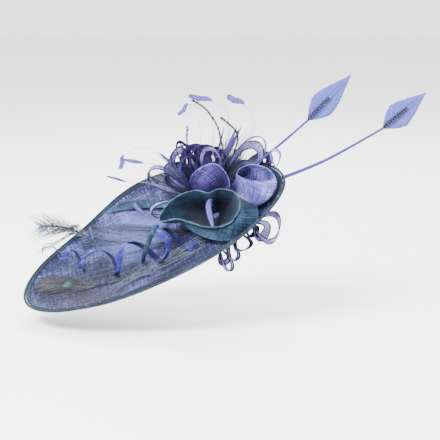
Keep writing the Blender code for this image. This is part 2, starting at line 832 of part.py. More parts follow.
BEADS = 10
BEAD_RADIUS = 0.0025
BEAD_SIDES = 10
BEAD_PITCH = 0.0046
BEAD_RINGS = (
    # share of a half pitch from the bead's start, share of its radius
    (0.0, 0.42),
    (0.54, 0.91),
    (1.46, 0.91),
)


def make_vane(name, base, tip):
    points = [base.lerp(tip, share) for share, _ in VANE_SHAPE]
    widths = [VANE_WIDTH * share for _, share in VANE_SHAPE]
    rings = band_rings(points, widths, [0] * len(points), VANE_THICK)
    give(name, rings_mesh(rings, False), "#8e90d8", 0.6)


def make_beads(name, base, tip):
    """A string of beads threaded close along the middle of a vane, on its front face."""
    run = (tip - base).normalized()
    side = run.cross(FRONT).normalized()
    out = side.cross(run).normalized()
    first = base + run * BEAD_RADIUS + out * (VANE_THICK / 2 + BEAD_RADIUS + GAP)
    stops = []
    for bead in range(BEADS):
        for place_in_bead, radius in BEAD_RINGS:
            stops.append((2 * bead + place_in_bead, radius))
    stops.append((2 * BEADS, BEAD_RINGS[0][1]))
    rings = []
    for share, radius in stops:
        centre = first + run * share * BEAD_PITCH / 2
        ring = []
        for k in range(BEAD_SIDES):
            turn = math.tau * k / BEAD_SIDES
            spoke = side * math.cos(turn) + out * math.sin(turn)
            ring.append(centre + spoke * radius * BEAD_RADIUS)
        rings.append(ring)
    give(name, rings_mesh(rings, False), "#20243c", 0.25)


def make_quills():
    upper = [place(*share) for share in UPPER_QUILL]
    tip = place(*UPPER_TIP)
    points = [Vector(p) for p in through([from_pad(upper[0])] + upper, QUILL_STEPS)]
    thinner = 1 - QUILL_TIP_RADIUS / QUILL_ROOT_RADIUS
    radii = [1 - thinner * k / (QUILL_STEPS - 1) for k in range(QUILL_STEPS)]
    wire("upper_quill", points, QUILL_ROOT_RADIUS, "#4a4a9c", 0.5, radii=radii)
    lower = [place(*share) for share in LOWER_QUILL]
    low_tip = place(*LOWER_TIP)
    points = [Vector(p) for p in through(lower, QUILL_STEPS)]
    wire("lower_quill", points, QUILL_ROOT_RADIUS, "#4a4a9c", 0.5, radii=radii)
    for name, base, end in (("upper", upper[-1], tip), ("lower", lower[-1], low_tip)):
        start = base + (end - base).normalized() * VANE_CLEAR
        make_vane(f"{name}_arrow", start, end)
        make_beads(f"{name}_beads", start, end)


# The curled quill: a row for each half turn, with its axis, radius and the ribbon's width.
CURL = (
    # along, across, up, radius, width
    (-0.74, 0.46, 0.73, 0.011, 0.0015),
    (-0.75, 0.51, 0.60, 0.010, 0.0025),
    (-0.74, 0.46, 0.60, 0.009, 0.0035),
    (-0.66, 0.34, 0.61, 0.011, 0.005),
    (-0.63, 0.31, 0.48, 0.013, 0.006),
    (-0.53, 0.16, 0.46, 0.016, 0.007),
    (-0.43, 0.01, 0.46, 0.018, 0.007),
    (-0.31, -0.15, 0.54, 0.023, 0.009),
    (-0.19, -0.18, 0.54, 0.022, 0.010),
    (0.00, -0.26, 0.58, 0.024, 0.011),
    (0.07, -0.20, 0.56, 0.022, 0.011),
    (0.23, -0.31, 0.19, 0.010, 0.010),
    (0.27, -0.41, 0.11, 0.006, 0.008),
)
CURL_STEPS = 84


def make_curl(bed):
    rings = []
    curve = through(CURL, CURL_STEPS)
    axis = [place(*row[:3]) for row in curve]
    for index, (row, run) in enumerate(zip(curve, tangents(axis, False))):
        turn = math.pi * (len(CURL) - 1) * index / (CURL_STEPS - 1)
        upward = FRONT.cross(run).normalized()
        toward = run.cross(upward).normalized()
        out = upward * math.cos(turn) - toward * math.sin(turn)
        centre = axis[index] + out * row[3]
        wide, deep = run * row[4] / 2, out * FEATHER / 2
        rings.append([centre + c for c in (wide + deep, deep - wide, -wide - deep, wide - deep)])
    obj = give("curled_quill", rings_mesh(rings, False), "#4040a8", 0.4)
    boolean(obj, bed)


# Biots and hackle strips that stand round the pad and are bound into it.
PLUME = (
    # tip along, across, up, width
    (0.78, 0.52, 1.84, 0.005),
    (0.70, 0.36, 1.68, 0.006),
    (0.44, 0.72, 1.72, 0.006),
    (0.86, 0.50, 1.54, 0.008),
    (0.88, 0.81, 0.92, 0.008),
    (0.88, 0.34, 1.34, 0.006),
    (0.27, 0.76, 1.60, 0.008),
    (0.60, 0.48, 1.75, 0.006),
)


LOCK_SHAPE = (0.6, 0.8, 1.0, 0.95, 0.7, 0.15)
LOCK_ROOT = 0.1
LOCK_MIDDLE = 0.55
LOCK_ARCH = 0.05
LOCK_LEAN = 15


def make_plume():
    pad = give("plume", ball(PAD_RADIUS), "#4c4488", 0.8)
    for index, (along, across, up, width) in enumerate(PLUME):
        tip = place(along, across, up)
        arch = Vector((0, 0, LOCK_ARCH)) * (tip - PAD).length
        stops = [PAD.lerp(tip, LOCK_ROOT), PAD.lerp(tip, LOCK_MIDDLE) + arch, tip]
        points = [Vector(p) for p in through(stops, len(LOCK_SHAPE))]
        widths = [width * share for share in LOCK_SHAPE]
        rings = band_rings(points, widths, [LOCK_LEAN] * len(points), FEATHER)
        lock = give(f"lock_{index}", rings_mesh(rings, False), "", 0, CUTTERS)
        boolean(pad, lock, "UNION")
    return pad


def main():
    bed = make_bed()
    under_bed = make_under_bed()
    pad_cutter = give("pad_cutter", ball(PAD_RADIUS + GAP), "", 0, CUTTERS)
    make_saucer()
    make_rim()
    make_comb()
    boolean(make_plume(), bed)
    make_horn(bed)
    make_wrap(bed)
    make_upright_petal(pad_cutter)
    make_cup_petal(pad_cutter, bed)
    make_strips(bed)
    make_loops(pad_cutter, under_bed, make_rim_bed())
    make_coque()
    make_spines()
    make_quills()
    make_curl(bed)
    worn = Euler((FORWARD_TILT, SIDE_TILT, 0))
    TILT.rotation_euler = worn
    TILT.location = -(worn.to_matrix() @ seat(COMB_THICK))
    bpy.context.view_layer.update()


main()
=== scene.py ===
"""Dresses the saucer fascinator: blocked open weave, bound rim, rolled horn, petals, ribbon loops,
quills, a curled quill, beads and feathers over the frame's solids.

Metres. Shapes are laid out in the saucer's own frame, x along its length, y across it towards the
back, z out of the dish, and worn() tilts them as the hat is worn. Tables hold shares: along of the
half length, across of the half width, up of the trim height above the dish.
"""

import math
import random

import bpy
from mathutils import Euler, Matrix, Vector, noise


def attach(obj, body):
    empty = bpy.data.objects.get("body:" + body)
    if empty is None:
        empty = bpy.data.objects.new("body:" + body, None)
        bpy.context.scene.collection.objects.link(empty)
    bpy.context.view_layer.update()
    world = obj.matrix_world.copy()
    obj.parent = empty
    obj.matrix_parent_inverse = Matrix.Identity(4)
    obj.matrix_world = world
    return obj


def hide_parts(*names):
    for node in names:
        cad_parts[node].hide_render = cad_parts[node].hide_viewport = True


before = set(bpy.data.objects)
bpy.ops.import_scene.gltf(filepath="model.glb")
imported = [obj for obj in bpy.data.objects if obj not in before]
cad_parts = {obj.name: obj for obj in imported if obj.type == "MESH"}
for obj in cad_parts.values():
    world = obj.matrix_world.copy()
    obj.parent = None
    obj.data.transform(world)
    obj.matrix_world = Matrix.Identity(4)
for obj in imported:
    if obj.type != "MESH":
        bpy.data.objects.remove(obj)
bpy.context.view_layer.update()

bl_info = {
    "name": "Saucer fascinator",
    "version": (1, 0, 0),
    "blender": (4, 5, 0),
    "location": "3D View > Sidebar > Hat",
    "description": "Builds the cloth, ribbons, quills and feathers of a saucer fascinator",
    "category": "Add Mesh",
}

HALF_LENGTH = 0.227
HALF_WIDTH = 0.134
WALL = 0.0015
DISH_DEPTH = 0.015
RIM_LIFT = 0.020
NEAR_LIP = 0.010
FAR_LIP = 0.003
LIP_START = 0.93
TRIM_HEIGHT = 0.050
GAP = 0.0003
RIM_WIRE = 0.0020
PAD_RADIUS = 0.021
CLOTH = 0.0012
FRONT = Vector((0.073, -0.826, 0.559)).normalized()
RIM_LIFTS = (0.15, 0.25, 0.60, 1.00, -0.25, -0.25, 0.00, 0.40, 0.65, 0.80, 0.60, 0.45)

WORN = Euler((math.radians(25), math.radians(-25), 0)).to_matrix()
SAUCER_MIDDLE = Vector((0.0064, -0.07105, -0.01394))


def linear(code):
    """An sRGB hex colour as linear values."""
    shares = [int(code[i : i + 2], 16) / 255 for i in (1, 3, 5)]
    return tuple(s / 12.92 if s <= 0.04045 else ((s + 0.055) / 1.055) ** 2.4 for s in shares)


def blend(value):
    """A share eased in and out between 0 and 1."""
    value = max(0.0, min(1.0, value))
    return value * value * (3 - 2 * value)


def catmull(values, share):
    """A smooth value between the middle two of four."""
    a, b, c, d = values
    return b + 0.5 * share * (c - a + share * (2 * a - 5 * b + 4 * c - d + share * (3 * (b - c) + d - a)))


def rim_lift(turn):
    """How far the rim is lifted at that turn round the saucer."""
    place_in = math.degrees(turn) % 360 / (360 / len(RIM_LIFTS))
    first = int(place_in)
    heights = [RIM_LIFTS[(first + k) % len(RIM_LIFTS)] for k in (-1, 0, 1, 2)]
    return RIM_LIFT * catmull(heights, place_in - first)


def dish(x, y):
    """Height of the dish's upper face. Beyond the rim it stays at the rim's height."""
    along, across = x / HALF_LENGTH, y / HALF_WIDTH
    out = min(1.0, math.hypot(along, across))
    turn = math.atan2(across, along)
    lip = (NEAR_LIP + FAR_LIP) / 2 - (NEAR_LIP - FAR_LIP) / 2 * math.sin(turn)
    turned_up = 1 - blend((out - LIP_START) / (1 - LIP_START))
    return rim_lift(turn) * out**3 - lip * turned_up - DISH_DEPTH * (1 - out**2)


def place(along, across, up):
    """A point at a share of the saucer's half length and width, up from the dish."""
    x, y = HALF_LENGTH * along, HALF_WIDTH * across
    return Vector((x, y, dish(x, y) + TRIM_HEIGHT * up))


PAD = place(0.46, 0.34, 0.0)
METRE_PER_PIXEL = 0.0016
SAUCER_PIXEL = (153.5, 238.0)
ELEVATION = math.radians(10)


def dish_seen(pixel_x, pixel_y, rise):
    """The nearest point, that far over the dish, which is seen at a pixel of the photograph."""
    for step in range(161):
        point = seen(pixel_x, pixel_y, step / 80 - 1)
        if (point.x / HALF_LENGTH) ** 2 + (point.y / HALF_WIDTH) ** 2 > 0.94:
            continue
        if point.z <= dish(point.x, point.y) + rise:
            return Vector((point.x, point.y, dish(point.x, point.y) + rise))
    return None


def worn(point):
    """A point of the saucer's frame where the worn hat has it."""
    return WORN @ point + SAUCER_MIDDLE


def seen(pixel_x, pixel_y, across):
    """The point of the saucer's frame seen at a pixel of the photograph, that share across."""
    view = WORN.transposed() @ Vector((0, math.cos(ELEVATION), -math.sin(ELEVATION)))
    up = Vector((0, math.sin(ELEVATION), math.cos(ELEVATION)))
    right = Vector((1, 0, 0))
    shown = right * (pixel_x - SAUCER_PIXEL[0]) + up * (SAUCER_PIXEL[1] - pixel_y)
    flat = WORN.transposed() @ (shown * METRE_PER_PIXEL)
    return flat + view * ((HALF_WIDTH * across - flat.y) / view.y)


def through(points, count, closed=False):
    """That many points on a smooth curve through the rows, whatever their number of columns."""
    rows = [tuple(p) for p in points]
    spans = len(rows) if closed else len(rows) - 1
    steps = count if closed else count - 1
    curve = []
    for index in range(count):
        position = spans * index / steps
        first = min(int(position), spans - 1)
        picked = []
        for k in (-1, 0, 1, 2):
            at = (first + k) % len(rows) if closed else min(max(first + k, 0), spans)
            picked.append(rows[at])
        curve.append([catmull(column, position - first) for column in zip(*picked)])
    return curve


def path(rows, count):
    """Points through rows of along, across and up."""
    return [Vector(p) for p in through([place(*row) for row in rows], count)]


def tangents(points, closed=False):
    """The direction of the line at each of its points."""
    count = len(points)
    found = []
    for index in range(count):
        before = points[index - 1] if closed or index else points[0]
        after = points[(index + 1) % count] if closed or index < count - 1 else points[-1]
        found.append((after - before).normalized())
    return found


def above_dish(point, rise):
    """The point, lifted where needed to stay that far over the dish."""
    floor = dish(point.x, point.y) + rise
    return Vector((point.x, point.y, max(point.z, floor)))


def outside_pad(point, rise=0.0005):
    """The point, moved out where needed to clear the pad."""
    away = point - PAD
    if away.length >= PAD_RADIUS + rise:
        return point
    return PAD + away.normalized() * (PAD_RADIUS + rise)


def from_pad(point):
    """Where a stem leaves the pad towards a point."""
    return PAD + (point - PAD).normalized() * (PAD_RADIUS + GAP)


class Shape:
    """Points, faces, a uv in metres for each face corner and a material index for each face."""

    def __init__(self):
        self.points, self.faces, self.uvs, self.kinds = [], [], [], []

    def face(self, corners, kind=0, uvs=None):
        """One face, of its points' numbers."""
        self.faces.append(list(corners))
        self.uvs += uvs or [(0.0, 0.0)] * len(corners)
        self.kinds.append(kind)

    def flip(self):
        """Turns every face over, with its uvs in the corners' new order."""
        made, at = [], 0
        for face in self.faces:
            face.reverse()
            made += self.uvs[at : at + len(face)][::-1]
            at += len(face)
        self.uvs = made

    def grid(self, rows, closed=False, flat_uv=False, kind=0):
        """Faces through a grid of points, closed round its first direction or not."""
        base, wide = len(self.points), len(rows[0])
        for row in rows:
            self.points += row
        count = len(rows)
        middle = wide // 2
        us = [0.0]
        for i in range(1, count + 1):
            us.append(us[-1] + (rows[i % count][middle] - rows[i - 1][middle]).length)
        vs = [0.0]
        for k in range(1, wide):
            vs.append(vs[-1] + (rows[count // 2][k] - rows[count // 2][k - 1]).length)
        for i in range(count if closed else count - 1):
            after = (i + 1) % count
            for k in range(wide - 1):
                corners = ((i, k), (after, k), (after, k + 1), (i, k + 1))
                if flat_uv:
                    uvs = [tuple(rows[a][b].xy) for a, b in corners]
                else:
                    ends = ((i, k), (i + 1, k), (i + 1, k + 1), (i, k + 1))
                    uvs = [(us[a], vs[b]) for a, b in ends]
                self.face([base + a * wide + b for a, b in corners], kind, uvs)
        return self

    def tube(self, points, radii, sides=8, wide=1.0, closed=False, kind=0, front=FRONT):
        """A tapered tube through points, wide times broader across the front than deep."""
        base, count = len(self.points), len(points)
        length = [0.0]
        for i in range(1, count + 1):
            length.append(length[-1] + (points[i % count] - points[i - 1]).length)
        for point, run, radius in zip(points, tangents(points, closed), radii):
            side = run.cross(front).normalized()
            face = side.cross(run)
            for k in range(sides):
                turn = math.tau * (k + 0.5) / sides
                self.points.append(point + (side * math.cos(turn) * wide + face * math.sin(turn)) * radius)
        girth = math.tau * radii[0]
        for i in range(count if closed else count - 1):
            after = (i + 1) % count
            for k in range(sides):
                over = (k + 1) % sides
                corners = ((i, k), (i, over), (after, over), (after, k))
                first, last = girth * k / sides, girth * (k + 1) / sides
                low, high = length[i], length[i + 1]
                uvs = [(low, first), (low, last), (high, last), (high, first)]
                self.face([base + a * sides + b for a, b in corners], kind, uvs)
        if not closed:
            for ring in (range(sides - 1, -1, -1), range((count - 1) * sides, count * sides)):
                self.face([base + k for k in ring], kind)
        return self


def linked(name, data):
    """An object with that data, in the scene."""
    obj = bpy.data.objects.new(name, data)
    bpy.context.scene.collection.objects.link(obj)
    return obj


def mesh_of(name, shape, points):
    """A smooth mesh of a shape's faces and uvs."""
    mesh = bpy.data.meshes.new(name)
    mesh.from_pydata(points, [], shape.faces)
    layer = mesh.uv_layers.new(name="metres")
    layer.data.foreach_set("uv", [value for pair in shape.uvs for value in pair])
    mesh.polygons.foreach_set("use_smooth", [True] * len(shape.faces))
    return mesh


def settle(obj, nodes=()):
    """Tells the frame what the finished piece rides on, its finish and what it stands for."""
    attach(obj, "root")
    if nodes:
        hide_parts(*nodes)
    return obj


def piece(name, shape, materials, nodes=()):
    """A finished piece with its place in its mesh and a material for each kind of face."""
    mesh = mesh_of(name, shape, [worn(p) for p in shape.points])
    for finish in materials if isinstance(materials, list) else [materials]:
        mesh.materials.append(finish)
    mesh.polygons.foreach_set("material_index", shape.kinds)
    mesh.update()
    return settle(linked(name, mesh), nodes)


def turn_outwards(shape, middle):
    """Reverses every face if most of the shape faces its middle."""
    facing = 0.0
    for face in shape.faces:
        a, b, c = (shape.points[k] for k in face[:3])
        facing += (b - a).cross(c - a).dot(a - middle)
    if facing < 0:
        shape.flip()


def cloth(name, shape, materials, nodes=(), thick=CLOTH, offset=0, middle=None):
    """A piece of cloth with a wall; with a middle, its second material is on the inside."""
    if middle:
        turn_outwards(shape, middle)
    obj = piece(name, shape, materials, nodes)
    wall = obj.modifiers.new("wall", "SOLIDIFY")
    wall.material_offset = 1 if middle else 0
    wall.thickness = thick
    wall.offset = offset
    return obj


def add(tree, kind, inputs, out=0, stops=(), **settings):
    """Adds a node and returns one of its outputs, or all of them where out is None.

    Inputs give each socket a value or another node's output. Stops are a ramp's places and dyes.
    """
    made = tree.nodes.new(kind)
    for key, value in settings.items():
        setattr(made, key, value)
    for socket, value in inputs.items():
        if isinstance(value, bpy.types.NodeSocket):
            tree.links.new(value, made.inputs[socket])
        else:
            made.inputs[socket].default_value = value
    if stops:
        elements = made.color_ramp.elements
        while len(elements) < len(stops):
            elements.new(0.5)
        for element, (where, colour) in zip(elements, stops):
            element.position = where
            element.color = (*dye(colour), 1)
    return made.outputs if out is None else made.outputs[out]


def blank(name, roughness, **constants):
    """A material, its tree, its shader with constant sockets set, and its texture coordinates."""
    finish = bpy.data.materials.new(name)
    finish.use_nodes = True
    tree = finish.node_tree
    shader = tree.nodes["Principled BSDF"]
    shader.inputs["Roughness"].default_value = roughness
    for socket, value in constants.items():
        shader.inputs[socket.replace("_", " ")].default_value = value
    return finish, tree, shader, add(tree, "ShaderNodeTexCoord", {}, None)


def fall_off(tree, spots, middle, reach):
    """A factor that is 1 at a point of the piece and falls to 0 that far from it."""
    spread = {"Vector": spots["Object"], "Location": tuple(-c / reach for c in middle)}
    spread["Scale"] = (1 / reach,) * 3
    near = add(tree, "ShaderNodeMapping", spread)
    return add(tree, "ShaderNodeTexGradient", {0: near}, "Fac", gradient_type="SPHERICAL")


SLUB_LENGTH = 0.030
# How far a thread rises where it goes over another, as a share of its own height.
OVER_SHARE = 0.3
# How gradually a thread's edge gives way to the gap beside it.
EDGE_SHARE = 0.12
# A rolled piece of cloth is in full light down to here, and its shade takes this colour.
LIT_DOWN_TO = 0.004
SHADE = "#040c1c"
BARB_RIDGE = 0.0016


def woven(name, colours, pitch, turn, hole, see_through, roughness, sheen, patches=0.05, deep=0, slub=0.0016):
    """Plain weave: threads pitch apart, open by hole, darker in the gaps, with slubs both ways.

    With a depth it darkens from its lip to that far down.
    """
    dark, usual, light = colours
    gloss = {"Sheen_Weight": sheen / 10, "Specular_IOR_Level": 0.15}
    finish, tree, shader, spots = blank(name, roughness, **gloss)
    laid = add(tree, "ShaderNodeMapping", {"Vector": spots["UV"], "Rotation": (0, 0, turn)})
    split = add(tree, "ShaderNodeSeparateXYZ", {0: laid}, None)
    waves, threads, slubs = [], [], []
    for axis, scale in enumerate(((1 / SLUB_LENGTH, 1 / slub, 1), (1 / slub, 1 / SLUB_LENGTH, 1))):
        phase = add(tree, "ShaderNodeMath", {0: split[axis], 1: math.pi / pitch}, operation="MULTIPLY")
        waves.append(add(tree, "ShaderNodeMath", {0: phase}, operation="SINE"))
        threads.append(add(tree, "ShaderNodeMath", {0: waves[axis]}, operation="ABSOLUTE"))
        long = add(tree, "ShaderNodeMapping", {"Vector": laid, "Scale": scale})
        slubs.append(add(tree, "ShaderNodeTexNoise", {"Vector": long, "Scale": 1.0, "Detail": 3.0}))
    over = add(tree, "ShaderNodeMath", {0: waves[0], 1: waves[1]}, operation="MULTIPLY")
    heights = []
    for thread, share in zip(threads, (OVER_SHARE, -OVER_SHARE)):
        lifted = {0: over, 1: share, 2: thread}
        heights.append(add(tree, "ShaderNodeMath", lifted, operation="MULTIPLY_ADD"))
    height = add(tree, "ShaderNodeMath", {0: heights[0], 1: heights[1]}, operation="MAXIMUM")
    cover = add(tree, "ShaderNodeMath", {0: threads[0], 1: threads[1]}, operation="MAXIMUM")
    edge = {"Value": cover, "From Min": hole - EDGE_SHARE, "From Max": hole + EDGE_SHARE}
    closed = add(tree, "ShaderNodeMapRange", edge)
    both = add(tree, "ShaderNodeMix", {0: 0.5, 6: slubs[0], 7: slubs[1]}, 2, data_type="RGBA")
    broad = {"Vector": spots["Object"], "Scale": 1 / patches, "Detail": 2.0}
    cloudy = add(tree, "ShaderNodeTexNoise", broad)
    tone = add(tree, "ShaderNodeMix", {0: 0.35, 6: both, 7: cloudy}, 2, data_type="RGBA")
    stops = ((0.40, dark), (0.50, usual), (0.61, light))
    dyed = add(tree, "ShaderNodeValToRGB", {0: tone}, stops=stops)
    gaps = {0: closed, 6: (*linear(dark), 1), 7: dyed}
    shown = add(tree, "ShaderNodeMix", gaps, 2, data_type="RGBA")
    if deep:
        down = {"Value": add(tree, "ShaderNodeSeparateXYZ", {0: spots["UV"]}, 1)}
        down |= {"From Min": LIT_DOWN_TO, "From Max": deep}
        shaded = {0: add(tree, "ShaderNodeMapRange", down), 6: shown, 7: (*linear(SHADE), 1)}
        shown = add(tree, "ShaderNodeMix", shaded, 2, data_type="RGBA")
    tree.links.new(shown, shader.inputs["Base Color"])
    if see_through:
        clear = {"Value": closed, "To Min": 1 - see_through, "To Max": 1.0}
        tree.links.new(add(tree, "ShaderNodeMapRange", clear), shader.inputs["Alpha"])
    relief = add(tree, "ShaderNodeBump", {"Height": height, "Strength": 1.0, "Distance": pitch / 8})
    tree.links.new(relief, shader.inputs["Normal"])
    return finish


def barbed(name, colours, roughness, sheen, grain=0.0014, bands=None):
    """Feather: barbs whose dye varies from one to the next, along the vane's own coordinates."""
    gloss = {"Sheen_Weight": sheen / 10, "Specular_IOR_Level": 0.2}
    finish, tree, shader, spots = blank(name, roughness, **gloss)
    fine = {"Vector": spots["Object"], "Scale": 1 / grain, "Detail": 3.0}
    stops = tuple(zip((0.32, 0.50, 0.68), colours))
    dyed = add(tree, "ShaderNodeValToRGB", {0: add(tree, "ShaderNodeTexNoise", fine)}, stops=stops)
    if bands:
        middle, reach, rings = bands
        near = fall_off(tree, spots, middle, reach)
        ringed = add(tree, "ShaderNodeValToRGB", {0: near}, stops=rings)
        inside = add(tree, "ShaderNodeMapRange", {"Value": near, "From Max": 0.12})
        dyed = add(tree, "ShaderNodeMix", {0: inside, 6: dyed, 7: ringed}, 2, data_type="RGBA")
    tree.links.new(dyed, shader.inputs["Base Color"])
    ridges = {"Vector": spots["UV"], "Scale": 1 / BARB_RIDGE, "Distortion": 0.4}
    ridge = add(tree, "ShaderNodeTexWave", ridges, "Fac", bands_direction="X")
    relief = add(tree, "ShaderNodeBump", {"Height": ridge, "Strength": 1.0, "Distance": BARB_RIDGE / 8})
    tree.links.new(relief, shader.inputs["Normal"])
    return finish


def wound(name, dark, light, pitch):
    """A shaft wound with dyed thread: fine turns that catch the light as even rings."""
    finish, tree, shader, spots = blank(name, 0.45, Specular_IOR_Level=0.2)
    turns = {"Vector": spots["UV"], "Scale": 1 / (pitch * math.tau) * 3.2, "Detail": 0.0}
    ring = add(tree, "ShaderNodeTexWave", turns, "Fac", bands_direction="X")
    dyed = add(tree, "ShaderNodeValToRGB", {0: ring}, stops=((0.15, dark), (0.85, light)))
    tree.links.new(dyed, shader.inputs["Base Color"])
    relief = add(tree, "ShaderNodeBump", {"Height": ring, "Strength": 1.0, "Distance": pitch / 4})
    tree.links.new(relief, shader.inputs["Normal"])
    return finish


def moulded(name, dark, light, roughness, coat):
    """Moulded plastic or glass: even, with a slight cloudiness in its gloss."""
    finish, tree, shader, spots = blank(name, roughness, Coat_Weight=coat)
    clouds = {"Vector": spots["Object"], "Scale": 1 / 0.006, "Detail": 2.0}
    cloudy = add(tree, "ShaderNodeTexNoise", clouds)
    dyed = add(tree, "ShaderNodeValToRGB", {0: cloudy}, stops=((0.3, dark), (0.7, light)))
    tree.links.new(dyed, shader.inputs["Base Color"])
    relief = add(tree, "ShaderNodeBump", {"Height": cloudy, "Strength": 1.0, "Distance": 0.00005})
    tree.links.new(relief, shader.inputs["Normal"])
    return finish


SAUCER_LIGHT_AND_SHADE = (
    # middle along, across, up, reach, colour, share: painted light through the crown, painted shade at the
    # front
    ((-0.12, 0.44, 0.0), 0.080, "#5c619e", 0.7),
    ((-0.16, -0.02, 0.0), 0.055, "#484c88", 0.5),
    ((-0.62, -0.32, 0.0), 0.110, "#1e1b26", 1.0),
    ((0.10, -0.66, 0.0), 0.110, "#11112a", 1.1),
    ((0.60, -0.72, 0.0), 0.080, "#0c0c20", 1.0),
)


def saucer_dye_with_painted_light_and_shade():
    """Stiffened sinamay, blocked over a form: violet-blue, paler where the dish catches light."""
    colours = ("#080a20", "saucer", "#545a92")
    finish = woven("stiffened_sinamay_blue", colours, 0.0034, 0, 0.5, 0.08, 0.62, 0.3, slub=0.0034)
    tree = finish.node_tree
    shader = tree.nodes["Principled BSDF"]
    dyed = shader.inputs["Base Color"].links[0].from_socket
    spots = add(tree, "ShaderNodeTexCoord", {}, None)
    # Painted light at the crown and painted shade at the front, mixed over the dye.
    for where, reach, colour, most in SAUCER_LIGHT_AND_SHADE:
        near = fall_off(tree, spots, worn(place(*where)), reach)
        share = add(tree, "ShaderNodeMath", {0: near, 1: most}, operation="MULTIPLY")
        tinted = {0: share, 6: dyed, 7: (*linear(colour), 1)}
        dyed = add(tree, "ShaderNodeMix", tinted, 2, data_type="RGBA")
    flecks = add(tree, "ShaderNodeTexNoise", {"Vector": spots["UV"], "Scale": 1 / 0.0026, "Detail": 1.0})
    few = {"Value": flecks, "From Min": 0.66, "From Max": 0.76, "To Max": 0.4}
    pale = {0: add(tree, "ShaderNodeMapRange", few), 6: dyed, 7: (*linear("#b4b8dc"), 1)}
    speckled = add(tree, "ShaderNodeMix", pale, 2, data_type="RGBA")
    tree.links.new(speckled, shader.inputs["Base Color"])
    return finish


